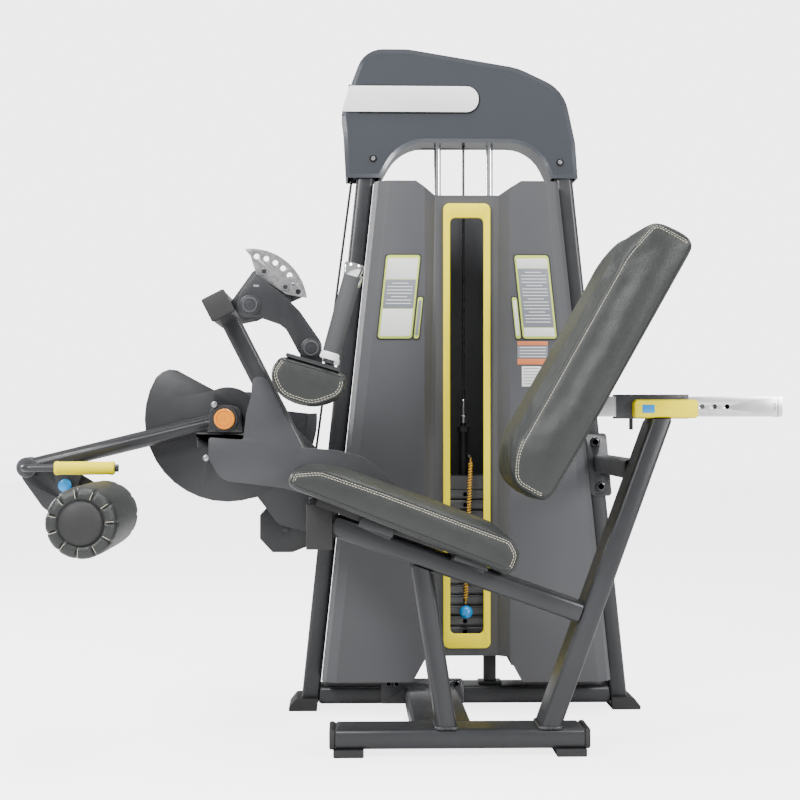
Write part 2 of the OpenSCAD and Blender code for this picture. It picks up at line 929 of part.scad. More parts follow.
module cam() {
    groove = cam_r - cable_r - 0.4;
    rim = cam_r + 6;
    color(steel)
        translate([pivot.x, 0, pivot.y])
            difference() {
                union() {
                    rotate([0, 100, 0])
                        rotate([90, 0, 0])
                            rotate_extrude(angle = 104, $fn = 128)
                                polygon([
                                    [rim - 22, -10], [rim, -10], [rim, -3.6], [groove, -3.6],
                                    [groove, 3.6], [rim, 3.6], [rim, 10], [rim - 22, 10]
                                ]);
                    side(-4, 4)
                        polygon(concat(
                            [[0, 30], [-30, -10]], [for (a = [-100 : 8 : 4]) polar(groove - 6, a)]
                        ));
                    round_y([0, 0], 32, -20, 20);
                }
                round_y([0, 0], shaft_r, -40, 40);
                for (a = [-82, -58, -34])
                    round_y(polar(105, a), 24, -10, 10);
            }
}

// Cable end lying in the cam's groove, from just past where it meets the straight run
module cam_cable() {
    color(rubber)
        translate([pivot.x, 0, pivot.y])
            rotate([0, 90 - up_tilt - 0.4, 0])
                rotate([90, 0, 0])
                    rotate_extrude(angle = 26)
                        translate([cam_r, 0]) circle(r = cable_r);
}

// ---- Ankle assembly ----
module ankle_link() {
    plate_y = [ring_y[1] + 1, ring_y[1] + 9];
    d = roller_at - ring_at;
    bend = 18;
    color(steel) {
        round_y(ring_at, ring_bore - run_gap, ring_y[0] + 2, plate_y[0]);
        difference() {
            plate_xz(
                [
                    [ring_at.x - 20, ring_at.y + 18, 18], [ring_at.x - 20, ring_at.y - 24, 18],
                    [ring_at.x + 30, 466, 40], [roller_at.x - 4, 438, 24],
                    [roller_at.x + 27, 444, 24], [roller_at.x + 22, 492, 24],
                    [ring_at.x + 96, 550, 20], [ring_at.x + 16, 580, 18]
                ],
                plate_y[0], plate_y[1]
            );
            for (a = [-20, -10, 0, 10, 20])
                round_y(ring_at + polar(index_r, ankle_pin_angle + a), pin_r + 0.5, -300, -250);
        }
        round_y(roller_at, axle_r, roller_y - roller_len - 6, plate_y[0]);
        round_y(ring_at, 8, grip_y + bend, ring_y[0] + 2);
        translate([ring_at.x + bend, grip_y + bend, ring_at.y])
            rotate([0, 0, 180]) rotate_extrude(angle = 90) translate([bend, 0]) circle(r = 8);
        translate([ring_at.x + bend, grip_y, ring_at.y]) rotate([0, 90, 0]) cylinder(h = 180, r = 8);
    }
}

module ankle_grip() {
    color(yellow)
        translate([ring_at.x + 66, grip_y, ring_at.y])
            rotate([0, 90, 0])
                difference() {
                    cylinder(h = 124, r = 14.5);
                    translate([0, 0, -1]) cylinder(h = 126, r = 8);
                }
}

module ankle_roller() {
    r = roller_dia / 2;
    edge = 16;
    color(vinyl)
        translate([roller_at.x, roller_y, roller_at.y])
            rotate([90, 0, 0])
                rotate_extrude($fn = 96)
                    polygon(concat(
                        [[axle_r + run_gap, 0]],
                        [for (a = [-90 : 15 : 0]) [r - edge, edge] + polar(edge, a)],
                        [for (a = [0 : 15 : 90]) [r - edge, roller_len - edge] + polar(edge, a)],
                        [[axle_r + run_gap, roller_len]]
                    ));
}

module ankle_pin() {
    p = ring_at + polar(index_r, ankle_pin_angle);
    color(blue) {
        round_y(p, pin_r, arm_y - 30, ring_y[1] + 1 - tip_gap);
        round_y(p, 14, arm_y - 46, arm_y - 22);
    }
}

// ---- Thigh hold-down ----
module lever_plate(y, ear) {
    outline = [
        [-27, 0, 26], [-18, 27, 16], [11, 62, 6], [67, 19, 40], [98, -12, 60], [144, -78, 23],
        [130, -112, 22], [98, -98, 23], [70, -46, 40], [57, -36, 30], [19, -23, 30], [-20, -26, 20]
    ];
    translate([lever_pivot.x, 0, lever_pivot.y])
        difference() {
            union() {
                plate_xz(outline, y[0], y[1]);
                if (ear)
                    plate_xz(
                        [[60, 0, 0], [105, 20, 10], [101, 52, 12], [74, 62, 12], [40, 20, 0]],
                        y[0], y[1]
                    );
            }
            if (ear)
                round_y(polar(sector_r, pin_angle), pin_r + run_gap, -700, -400);
        }
}

module lever_plates() {
    color(steel) {
        lever_plate(lever_near, false);
        lever_plate(lever_far, true);
        for (p = [lever_pivot, lever_tip]) {
            round_y(p, lever_bolt_r, lever_near[0] - 2, lever_far[1] + 10);
            round_y(p, 14, lever_near[0] - 8, lever_near[0]);
            round_y(p, 15, lever_far[1], lever_far[1] + 9);
        }
        translate([lever_pivot.x, 0, lever_pivot.y])
            difference() {
                round_y(polar(sector_r, pin_angle), 10, lever_far[1], lever_far[1] + 16);
                round_y(polar(sector_r, pin_angle), pin_r + run_gap, -700, -400);
            }
    }
}

module thigh_pin() {
    p = lever_pivot + polar(sector_r, pin_angle);
    color(blue) {
        round_y(p, pin_r, sector_y[1] + tip_gap, lever_far[1] + 22);
        round_y(p, 13, lever_far[1] + 17, lever_far[1] + 38);
    }
}

handle_foot = [-306, 770];
handle_dir = unit([50, 181]);
handle_ys = [seat_mid - 125, seat_mid + 125];

module pad_bracket() {
    color(steel) {
        difference() {
            union() {
                plate_xz(
                    [[-362, 778, 0], [-318, 765, 0], [-318, 800, 18], [-336, 824, 18], [-362, 808, 18]],
                    lever_near[1] + 2, lever_far[0] - 2
                );
                round_y(lever_tip, 20, lever_near[1] + 1, lever_far[0] - 1);
            }
            round_y(lever_tip, lever_bolt_r + run_gap, -700, -400);
        }
        plate_xz(
            [[-386, 783, 0], [-284, 753, 0], [-284, 760, 3], [-386, 790, 3]],
            seat_mid - 136, seat_mid + 136
        );
        for (y = handle_ys)
            round_bar(handle_foot, along(handle_foot, handle_dir, 196), 11, y);
    }
}

module handle_grips() {
    color(rubber)
        for (y = handle_ys)
            difference() {
                round_bar(along(handle_foot, handle_dir, 14), along(handle_foot, handle_dir, 178), 16, y);
                round_bar(handle_foot, along(handle_foot, handle_dir, 200), 11, y);
            }
}

module thigh_pad() {
    color(vinyl)
        plate_xz([
            [-396, 785, 12], [-420, 752, 34], [-400, 704, 50],
            [-336, 683, 60], [-274, 706, 36], [-268, 748, 12]
        ], seat_mid - thigh_pad_w / 2, seat_mid + thigh_pad_w / 2);
}

// ---- Seat and backrest ----
module seat_pad() {
    color(vinyl)
        side(seat_mid - seat_pad_w / 2, seat_mid + seat_pad_w / 2)
            translate(beam_start) rotate(-seat_lean)
                polygon(rounded([
                    [pad_u[0], pad_w[0], 14], [pad_u[1], pad_w[1], 20], [pad_u[1] + 2, 74, 28],
                    [330, 100, 28], [70, 105, 200], [-60, 104, 60], [-114, 80, 18]
                ]));
}

module adjuster_housing() {
    color(steel)
        difference() {
            side(slide_y[0] - housing_wall, slide_y[1] + housing_wall)
                translate([housing_x[0], slide_z[0] - housing_wall])
                    square([housing_x[1] - housing_x[0], slide_z[1] - slide_z[0] + 2 * housing_wall]);
            side(slide_y[0] - run_gap, slide_y[1] + run_gap)
                translate([housing_x[0] - 1, slide_z[0] - run_gap])
                    square([housing_x[1] - housing_x[0] + 2, slide_z[1] - slide_z[0] + 2 * run_gap]);
            round_y([lock_x, 687], pin_r + run_gap, -700, slide_y[0]);
        }
}

module slide_tube() {
    left = 246;
    color(chrome)
        difference() {
            side(slide_y[0], slide_y[1])
                polygon([
                    [left - 22.4, slide_z[0]], [slide_end, slide_z[0]],
                    [slide_end, slide_z[1]], [left, slide_z[1]]
                ]);
            side(slide_y[0] + wall, slide_y[1] - wall)
                translate([left + 14, slide_z[0] + wall])
                    square([slide_end, slide_z[1] - slide_z[0] - 2 * wall]);
            for (i = [0 : 5])
                round_y([lock_x + i * hole_pitch, 687], pin_r, -700, seat_mid);
        }
}

module back_bracket() {
    color(steel)
        side(seat_mid - 60, seat_mid + 60)
            rotate(back_lean)
                translate([620, -back_v[1] - 8]) square([190, 8]);
}

module back_pad() {
    color(vinyl)
        side(seat_mid - back_pad_w / 2, seat_mid + back_pad_w / 2)
            rotate(back_lean)
                polygon(rounded([
                    [back_u[0], -back_v[1], 30], [back_u[1], -back_v[1], 22],
                    [back_u[1], -back_v[0] - 20, 30], [back_u[1] - 90, -back_v[0], 200],
                    [back_u[0] + 60, -back_v[0], 120], [back_u[0], -back_v[0] - 30, 40]
                ]));
}

module release_handle() {
    color(yellow) {
        plate_xz(
            [[296, 664, 6], [425, 664, 8], [425, 701, 8], [296, 701, 6]],
            slide_y[0] - 28, slide_y[0] - 7
        );
        round_y([lock_x, 687], pin_r, slide_y[0] - 20, slide_y[0] - tip_gap);
    }
}

module placed() {
    translate([-origin.x, -origin.y, 0]) children();
}

placed() base_bar();
placed() front_post();
placed() rear_post();
placed() seat_beam();
placed() cross_tube();
placed() lower_tie_beam();
placed() upper_tie_tube();
placed() frame_bolts();
placed() end_caps();
placed() rubber_feet();
placed() tower_leg_left();
placed() tower_leg_right();
placed() tower_base_beam();
placed() tower_top_beam();
placed() stack_posts();
placed() guide_rods();
placed() stack_bumpers();
placed() resting_plates();
placed() front_cover();
placed() rear_cover();
placed() window_frame();
placed() front_shroud();
placed() rear_shroud();
placed() shroud_stripe();
placed() mechanism_post();
placed() thigh_bracket();
placed() sector_plate();
placed() near_guard();
placed() bearings();
placed() far_support_plate();
placed() pulley_brackets();
placed() lifting_cable();
placed() adjuster_housing();
placed() seat_pad();
placed() selector_stem();
placed() selected_plates();
placed() stack_cable();
placed() lanyard();
placed() selector_pin();
placed() pivot_shaft();
placed() arm_tube();
placed() arm_disc();
placed() cam();
placed() cam_cable();
placed() ankle_link();
placed() ankle_grip();
placed() ankle_roller();
placed() ankle_pin();
placed() lever_plates();
placed() thigh_pin();
placed() pad_bracket();
placed() thigh_pad();
placed() handle_grips();
placed() slide_tube();
placed() back_bracket();
placed() back_pad();
placed() release_handle();
placed() centre_pulley();
placed() left_pulley();
placed() lower_pulley();
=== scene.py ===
"""Looks of the seated leg curl machine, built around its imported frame. Lengths are in metres."""

import json
import math

import bmesh
import bpy
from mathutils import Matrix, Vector
from mathutils.bvhtree import BVHTree
from mathutils.kdtree import KDTree


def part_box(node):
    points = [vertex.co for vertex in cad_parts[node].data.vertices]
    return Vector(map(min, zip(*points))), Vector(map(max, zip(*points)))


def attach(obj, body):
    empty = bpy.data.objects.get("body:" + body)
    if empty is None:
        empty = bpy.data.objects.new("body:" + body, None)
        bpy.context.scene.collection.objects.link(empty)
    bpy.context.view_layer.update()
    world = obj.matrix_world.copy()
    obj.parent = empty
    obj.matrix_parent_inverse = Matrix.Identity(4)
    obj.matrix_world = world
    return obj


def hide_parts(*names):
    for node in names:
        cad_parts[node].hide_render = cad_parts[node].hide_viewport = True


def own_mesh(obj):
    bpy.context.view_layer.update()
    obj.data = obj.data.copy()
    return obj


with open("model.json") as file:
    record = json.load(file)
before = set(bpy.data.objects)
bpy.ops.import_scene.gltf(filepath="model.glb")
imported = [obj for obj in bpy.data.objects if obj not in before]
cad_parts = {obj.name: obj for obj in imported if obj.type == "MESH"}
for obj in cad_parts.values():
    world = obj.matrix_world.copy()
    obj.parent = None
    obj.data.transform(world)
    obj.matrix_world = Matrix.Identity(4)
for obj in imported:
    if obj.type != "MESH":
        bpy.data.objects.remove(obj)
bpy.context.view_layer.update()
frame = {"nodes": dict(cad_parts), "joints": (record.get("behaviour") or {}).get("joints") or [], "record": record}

NODES = frame["nodes"]
JOINTS = {j["name"]: j for j in frame["joints"]}
BODY_OF = {n: b for b, ns in frame["record"]["behaviour"]["bodies"].items() for n in ns}
SLOT_OF = {s["node"]: s["material_slot"] for s in frame["record"]["subparts"]}
MM = 0.001


def middle(node):
    lo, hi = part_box(node)
    return (lo + hi) / 2


# The tower's middle on the floor, which the other places are counted from, and the seat's middle plane
TOWER = Vector((middle("guide_rods").x, middle("guide_rods").y, 0))
SEAT_Y = middle("seat_pad").y


def pivot_of(joint):
    return Vector(JOINTS[joint]["pos_m"])


# ---- Camera, floor and light ----
def make_camera():
    """A long lens level with the seat. The lens and the frame are in the same unit, the sensor in mm."""
    lens_px, frame_px, sensor = 1735, 800, 36
    tilt_deg, turn_deg = 90.5, -1.816
    data = bpy.data.cameras.new("camera")
    data.sensor_width = sensor
    data.lens = lens_px / frame_px * sensor
    camera = bpy.data.objects.new("camera", data)
    camera.location = TOWER + Vector((-0.273, -3.995, 0.670))
    camera.rotation_euler = (math.radians(tilt_deg), 0, math.radians(turn_deg))
    bpy.context.scene.collection.objects.link(camera)
    bpy.context.scene.camera = camera


def make_area_light(name, place, aim_height, size, power):
    data = bpy.data.lights.new(name, "AREA")
    data.size = size
    data.energy = power
    lamp = bpy.data.objects.new(name, data)
    lamp.location = place
    aim = Vector((0, 0, aim_height)) - Vector(place)
    lamp.rotation_euler = aim.to_track_quat("-Z", "Y").to_euler()
    bpy.context.scene.collection.objects.link(lamp)


def seen_and_cast(tree, shown, cast, output):
    """A backdrop that looks brighter to the camera than it lights the machine."""
    nodes, links = tree.nodes, tree.links
    path = nodes.new("ShaderNodeLightPath")
    mix = nodes.new("ShaderNodeMixShader")
    links.new(path.outputs["Is Camera Ray"], mix.inputs[0])
    links.new(cast.outputs[0], mix.inputs[1])
    links.new(shown.outputs[0], mix.inputs[2])
    links.new(mix.outputs[0], output.inputs["Surface"])


def make_stage():
    """Pale floor and backdrop with four soft lamps."""
    half, floor_glow, sky_cast, sky_shown = 14, 3.4, 0.60, 4.3
    mesh = bpy.data.meshes.new("floor")
    corners = [(-half, -half, 0), (half, -half, 0), (half, half, 0), (-half, half, 0)]
    mesh.from_pydata(corners, [], [(0, 1, 2, 3)])
    floor = bpy.data.objects.new("floor", mesh)
    bpy.context.scene.collection.objects.link(floor)
    material = bpy.data.materials.new("floor")
    material.use_nodes = True
    tree = material.node_tree
    shader = tree.nodes["Principled BSDF"]
    shader.inputs["Base Color"].default_value = (0.80, 0.80, 0.80, 1)
    shader.inputs["Roughness"].default_value = 0.8
    lift = tree.nodes.new("ShaderNodeEmission")
    lift.inputs["Strength"].default_value = floor_glow
    bright = tree.nodes.new("ShaderNodeAddShader")
    tree.links.new(shader.outputs[0], bright.inputs[0])
    tree.links.new(lift.outputs[0], bright.inputs[1])
    seen_and_cast(tree, bright, shader, tree.nodes["Material Output"])
    mesh.materials.append(material)

    world = bpy.data.worlds.new("studio")
    world.use_nodes = True
    tree = world.node_tree
    sky = tree.nodes["Background"]
    sky.inputs["Color"].default_value = (1, 1, 1, 1)
    sky.inputs["Strength"].default_value = sky_cast
    backdrop = tree.nodes.new("ShaderNodeBackground")
    backdrop.inputs["Color"].default_value = (1, 1, 1, 1)
    backdrop.inputs["Strength"].default_value = sky_shown
    seen_and_cast(tree, backdrop, sky, tree.nodes["World Output"])
    bpy.context.scene.world = world
    make_area_light("key", (-2.4, -3.0, 3.2), 0.7, 1.3, 230)
    make_area_light("fill", (3.0, -2.8, 2.0), 0.7, 1.2, 120)
    make_area_light("top", (0.2, -0.2, 3.8), 0.8, 2.0, 150)
    make_area_light("edge", (-2.8, 1.6, 1.6), 0.8, 1.0, 60)


# ---- Materials ----
def surface(name, colour, rough, metallic=0.0, mottle=0.12, mottle_scale=9.0,
            grain=None, wear=None, coat=0.0, rough_spread=0.08, specular=0.5):
    """Uneven colour and gloss. grain is (kind, scale, depth), wear a bright colour on edges."""
    material = bpy.data.materials.new(name)
    material.use_nodes = True
    nodes, links = material.node_tree.nodes, material.node_tree.links
    shader = nodes["Principled BSDF"]
    shader.inputs["Metallic"].default_value = metallic
    shader.inputs["Specular IOR Level"].default_value = specular
    shader.inputs["Coat Weight"].default_value = coat
    shader.inputs["Coat Roughness"].default_value = 0.15
    place = nodes.new("ShaderNodeTexCoord").outputs["Object"]

    patches = nodes.new("ShaderNodeTexNoise")
    patches.inputs["Scale"].default_value = mottle_scale
    patches.inputs["Detail"].default_value = 6
    links.new(place, patches.inputs["Vector"])
    tint = nodes.new("ShaderNodeValToRGB")
    tint.color_ramp.elements[0].position = 0.3
    tint.color_ramp.elements[0].color = (*[c * (1 - mottle) for c in colour], 1)
    tint.color_ramp.elements[1].position = 0.7
    tint.color_ramp.elements[1].color = (*[min(1, c * (1 + mottle)) for c in colour], 1)
    links.new(patches.outputs["Fac"], tint.inputs["Fac"])
    base = tint.outputs["Color"]

    if wear:
        edge = nodes.new("ShaderNodeNewGeometry")
        sharp = nodes.new("ShaderNodeMapRange")
        sharp.inputs["From Min"].default_value = 0.52
        sharp.inputs["From Max"].default_value = 0.60
        sharp.inputs["To Max"].default_value = 0.55
        links.new(edge.outputs["Pointiness"], sharp.inputs["Value"])
        mix = nodes.new("ShaderNodeMix")
        mix.data_type = "RGBA"
        mix.inputs["B"].default_value = (*wear, 1)
        links.new(sharp.outputs["Result"], mix.inputs["Factor"])
        links.new(base, mix.inputs["A"])
        base = mix.outputs["Result"]
    links.new(base, shader.inputs["Base Color"])

    smears = nodes.new("ShaderNodeTexNoise")
    smears.inputs["Scale"].default_value = mottle_scale * 4
    smears.inputs["Detail"].default_value = 4
    links.new(place, smears.inputs["Vector"])
    gloss = nodes.new("ShaderNodeMapRange")
    gloss.inputs["To Min"].default_value = max(0.02, rough - rough_spread)
    gloss.inputs["To Max"].default_value = min(1, rough + rough_spread)
    links.new(smears.outputs["Fac"], gloss.inputs["Value"])
    links.new(gloss.outputs["Result"], shader.inputs["Roughness"])

    if grain:
        kind, scale, depth = grain
        relief = nodes.new("ShaderNodeTexVoronoi" if kind == "cells" else "ShaderNodeTexNoise")
        relief.inputs["Scale"].default_value = scale
        links.new(place, relief.inputs["Vector"])
        bump = nodes.new("ShaderNodeBump")
        bump.inputs["Strength"].default_value = 0.35
        bump.inputs["Distance"].default_value = depth
        links.new(relief.outputs["Distance" if kind == "cells" else "Fac"], bump.inputs["Height"])
        links.new(bump.outputs["Normal"], shader.inputs["Normal"])
    return material


def make_materials():
    return {
        "frame_steel": surface("powder_coat", (0.024, 0.025, 0.028), 0.34,
                               grain=("noise", 1400, 0.00035), wear=(0.06, 0.061, 0.065)),
        "cover_plastic": surface("cover_plastic", (0.070, 0.071, 0.077), 0.46, mottle=0.05,
                                 grain=("noise", 1900, 0.0003), mottle_scale=4),
        "guard_steel": surface("guard_steel", (0.050, 0.051, 0.056), 0.40, mottle=0.05,
                               grain=("noise", 1400, 0.0003), wear=(0.10, 0.10, 0.11)),
        "shroud_plastic": surface("shroud_plastic", (0.051, 0.056, 0.067), 0.32, metallic=0.3,
                                  mottle=0.04, mottle_scale=3, coat=0.3, rough_spread=0.03),
        "silver_trim": surface("silver_trim", (0.90, 0.91, 0.92), 0.34, mottle=0.03, coat=0.3),
        "yellow_plastic": surface("yellow_plastic", (0.98, 0.82, 0.0), 0.50, mottle=0.02,
                                  grain=("noise", 2200, 0.00012), specular=0.2),
        "blue_plastic": surface("blue_plastic", (0.004, 0.27, 0.70), 0.22, mottle=0.06, coat=0.5),
        "orange_plastic": surface("orange_plastic", (0.95, 0.30, 0.004), 0.30, mottle=0.08, coat=0.3),
        "stainless": surface("stainless", (0.93, 0.935, 0.94), 0.34, metallic=1.0, mottle=0.03,
                             grain=("noise", 1800, 0.0001)),
        "punched_steel": surface("punched_steel", (0.36, 0.36, 0.37), 0.36, metallic=0.9, mottle=0.22,
                                 mottle_scale=130, grain=("noise", 1500, 0.0004)),
        "black_rubber": surface("black_rubber", (0.020, 0.020, 0.021), 0.62,
                                grain=("noise", 900, 0.0006)),
        "grip_foam": surface("grip_foam", (0.060, 0.062, 0.066), 0.66, mottle=0.08,
                             grain=("cells", 900, 0.0009)),
        "upholstery": surface("grained_vinyl", (0.022, 0.025, 0.0235), 0.42, mottle=0.12,
                              grain=("cells", 620, 0.0011), mottle_scale=14),
        "piping": surface("piping_vinyl", (0.018, 0.019, 0.019), 0.40, grain=("cells", 700, 0.0006)),
        "thread": surface("cream_thread", (0.62, 0.58, 0.46), 0.72, mottle=0.15, mottle_scale=160,
                          grain=("noise", 3000, 0.0006)),
        "chrome_steel": surface("chrome", (0.82, 0.83, 0.85), 0.10, metallic=1.0, mottle=0.04,
                                rough_spread=0.05, grain=("noise", 240, 0.0001)),
        "zinc_bolts": surface("zinc", (0.50, 0.51, 0.53), 0.32, metallic=1.0, mottle=0.15,
                              mottle_scale=60),
        "black_chrome": surface("black_chrome", (0.10, 0.10, 0.105), 0.22, metallic=0.9),
        "stack_steel": surface("stack_steel", (0.030, 0.030, 0.032), 0.34, metallic=0.2,
                               mottle=0.25, mottle_scale=30, wear=(0.22, 0.22, 0.23),
                               grain=("noise", 700, 0.0004)),
        "cable_jacket": surface("cable_jacket", (0.022, 0.022, 0.024), 0.28, coat=0.3),
        "cord_yellow": surface("cord_yellow", (0.85, 0.48, 0.05), 0.34, mottle=0.08, coat=0.3),
        "label_white": surface("label_white", (0.78, 0.79, 0.76), 0.40, mottle=0.03),
        "label_grey": surface("label_grey", (0.21, 0.22, 0.25), 0.42, mottle=0.04),
        "label_lime": surface("label_lime", (0.55, 0.66, 0.10), 0.40, mottle=0.04),
        "label_orange": surface("label_orange", (0.66, 0.20, 0.075), 0.42, mottle=0.06),
        # Near-black painted shade for the shrouds' screw cups, vents and stripe groove; also the dark seam line
        # and mark on the slide tube's cap
        "hole_shade_and_seam": surface("hole_shade_and_seam", (0.004, 0.004, 0.004), 0.85),
    }


# ---- Making pieces ----
def add_piece(name, mesh, material, body, smooth_angle=35):
    """An object in the scene that rides on a body and takes its finish from a slot."""
    mesh.polygons.foreach_set("use_smooth", [True] * len(mesh.polygons))
    mesh.set_sharp_from_angle(angle=math.radians(smooth_angle))
    mesh.materials.clear()
    mesh.materials.append(MATERIALS[material])
    piece = bpy.data.objects.new(name, mesh)
    bpy.context.scene.collection.objects.link(piece)
    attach(piece, body)
    return piece


def mesh_of(bm, name):
    bmesh.ops.recalc_face_normals(bm, faces=bm.faces)
    mesh = bpy.data.meshes.new(name)
    bm.to_mesh(mesh)
    bm.free()
    return mesh


def clean_copy(node):
    """The CAD node's faces, merged back from triangles."""
    same_point, same_plane = 1e-5, math.radians(0.8)
    bm = bmesh.new()
    bm.from_mesh(NODES[node].data)
    bmesh.ops.remove_doubles(bm, verts=bm.verts, dist=same_point)
    bmesh.ops.dissolve_limit(
        bm, angle_limit=same_plane, verts=bm.verts, edges=bm.edges,
        use_dissolve_boundaries=False, delimit=set()
    )
    return bm


def is_ridge(edge, least=40):
    """A convex edge that turns by at least so many degrees."""
    return (len(edge.link_faces) == 2 and edge.is_convex
            and edge.calc_face_angle(0) > math.radians(least))


def ease(bm, edges, radius, segments, clamp=True):
    """Rounds edges of a bmesh."""
    if edges:
        bmesh.ops.bevel(
            bm, geom=edges, offset=radius, offset_type="OFFSET", segments=segments,
            profile=0.5, affect="EDGES", clamp_overlap=clamp
        )


def eased(node, long_radius=0.0, radius=0.0008, long_len=0.09, material=None, only=None):
    """A copy of a CAD node with its long ridges rounded and its other ridges eased."""
    bm = clean_copy(node)
    if long_radius:
        long_ridges = [e for e in bm.edges if is_ridge(e) and e.calc_length() > long_len]
        ease(bm, long_ridges, long_radius, 5, clamp=False)
    if radius:
        ease(bm, [e for e in bm.edges if is_ridge(e) and (only is None or only(e))], radius, 2)
    slot = SLOT_OF[node]
    piece = add_piece(node + "_shape", mesh_of(bm, node), material or slot, BODY_OF[node])
    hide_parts(node)
    return piece


def add_tube(bm, points, radius, sides=10, closed=False):
    """Adds a round tube along points to a bmesh. radius is one value or one for each point."""
    count = len(points)
    radii = radius if hasattr(radius, "__len__") else [radius] * count
    rings = []
    up = None
    for i, p in enumerate(points):
        after = points[(i + 1) % count] if closed or i < count - 1 else p
        before = points[i - 1] if closed or i > 0 else p
        ahead = (after - before).normalized()
        if up is None:
            up = ahead.orthogonal().normalized()
        up = (up - ahead * up.dot(ahead)).normalized()
        across = ahead.cross(up)
        rings.append([
            bm.verts.new(p + (up * math.cos(a) + across * math.sin(a)) * radii[i])
            for a in [2 * math.pi * k / sides for k in range(sides)]
        ])
    for i in range(count if closed else count - 1):
        a, b = rings[i], rings[(i + 1) % count]
        shift = 0
        if closed and i == count - 1:
            shift = min(range(sides), key=lambda s: (a[0].co - b[s].co).length)
        for k in range(sides):
            bm.faces.new((a[k], a[(k + 1) % sides],
                          b[(k + 1 + shift) % sides], b[(k + shift) % sides]))
    if not closed:
        bm.faces.new(rings[0][::-1])
        bm.faces.new(rings[-1])


def tube(name, points, radius, material, body, sides=10, closed=False):
    bm = bmesh.new()
    add_tube(bm, points, radius, sides, closed)
    return add_piece(name, mesh_of(bm, name), material, body)


def lathe(profile, place, axis, steps=48):
    """Solid turned about a line through place. profile is [(distance along axis, radius), ...]."""
    bm = bmesh.new()
    axis = Vector(axis).normalized()
    side = axis.orthogonal().normalized()
    other = axis.cross(side)
    rings = []
    for along, r in profile:
        centre = place + axis * along
        if r < 1e-6:
            rings.append([bm.verts.new(centre)])
            continue
        rings.append([
            bm.verts.new(centre + (side * math.cos(a) + other * math.sin(a)) * r)
            for a in [2 * math.pi * k / steps for k in range(steps)]
        ])
    for a, b in zip(rings, rings[1:]):
        for k in range(steps):
            n = (k + 1) % steps
            if len(a) == 1:
                bm.faces.new((a[0], b[k], b[n]))
            elif len(b) == 1:
                bm.faces.new((a[n], a[k], b[0]))
            else:
                bm.faces.new((a[k], a[n], b[n], b[k]))
    for ring in (rings[0], rings[-1]):
        if len(ring) > 1:
            bm.faces.new(ring)
    return bm


def turned(name, profile, place, axis, material, body, steps=48):
    return add_piece(name, mesh_of(lathe(profile, place, axis, steps), name), material, body)


def arc(centre, radius, start, end, steps):
    """Points of an arc in X and Z, angles in degrees from +X towards +Z."""
    return [
        centre + Vector((math.cos(a), 0, math.sin(a))) * radius
        for a in [math.radians(start + (end - start) * i / steps) for i in range(steps + 1)]
    ]


def extruded(bm, by):
    """Draws a bmesh's one face out into a solid, and gives the moved corners."""
    grown = bmesh.ops.extrude_face_region(bm, geom=bm.faces[:])
    moved = [g for g in grown["geom"] if isinstance(g, bmesh.types.BMVert)]
    bmesh.ops.translate(bm, verts=moved, vec=by)
    return moved


def rounded_panel(name, outline, thickness, place, material, body, radius=0.006):
    """A panel facing -Y. outline is [(x, z), ...] about place, anticlockwise from the front."""
    bm = bmesh.new()
    bm.faces.new([bm.verts.new(place + Vector((x, 0, z))) for x, z in outline])
    bmesh.ops.bevel(bm, geom=bm.verts[:], offset=radius, offset_type="OFFSET", segments=5,
                    profile=0.5, affect="VERTICES", clamp_overlap=True)
    moved = extruded(bm, (0, -thickness, 0))
    rim = [e for e in bm.edges if all(v in moved for v in e.verts)]
    ease(bm, rim, thickness * 0.35, 2)
    return add_piece(name, mesh_of(bm, name), material, body)


# ---- Cords and cables ----
def make_lanyard():
    """Curly cord from the eye on the stem down to the selector pin."""
    lo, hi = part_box("lanyard")
    half_width, straight = 5.5 * MM, 8 * MM
    top = Vector((hi.x - half_width, (lo.y + hi.y) / 2, hi.z))
    foot = Vector((lo.x + half_width, (lo.y + hi.y) / 2, lo.z))
    wire, coil_r, pitch = 1.5 * MM, 3.9 * MM, 6.2 * MM
    down = (foot - top).normalized()
    side = down.orthogonal().normalized()
    other = down.cross(side)
    coiled = (foot - top).length - 2 * straight
    turns = round(coiled / pitch)
    steps = 14
    points = [top]
    for i in range(turns * steps + 1):
        a = 2 * math.pi * i / steps
        grow = min(1, i / steps, (turns * steps - i) / steps)
        centre = top + down * (straight + coiled * i / (turns * steps))
        points.append(centre + (side * math.cos(a) + other * math.sin(a)) * coil_r * max(0.15, grow))
    points.append(foot)
    piece = tube("lanyard_cord", points, wire, "cord_yellow", "stack", sides=8)
    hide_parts("lanyard")


# ---- Cushions ----
FACES_BASE = 0.72  # A side whose normal goes along the base's by more than this has no seam


def end_outline(node):
    """Corners (x, z) of a cushion's end panel, in order round it, and the panels' planes in Y."""
    bm = clean_copy(node)
    panel = max((f for f in bm.faces if f.normal.y < -0.9), key=lambda f: f.calc_area())
    corners = [Vector((v.co.x, v.co.z)) for v in panel.verts]
    lo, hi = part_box(node)
    bm.free()
    return corners, (lo.y, hi.y)


def turned_in(corners, depth):
    """The outline moved inwards by depth, with each corner's outward normal."""
    centre = sum(corners, Vector((0, 0))) / len(corners)
    result = []
    for i, c in enumerate(corners):
        a = (c - corners[i - 1]).normalized()
        b = (corners[(i + 1) % len(corners)] - c).normalized()
        along = (a + b).normalized()
        out = Vector((along.y, -along.x))
        if out.dot(c - centre) < 0:
            out = -out
        result.append((c - out * depth, out))
    return result


def spaced(points, step):
    """Points a fixed step apart along a line of points."""
    result, left = [points[0]], step
    for a, b in zip(points, points[1:]):
        length, done = (b - a).length, 0.0
        while length - done >= left:
            done += left
            left = step
            result.append(a.lerp(b, done / length))
        left -= length - done
    return result


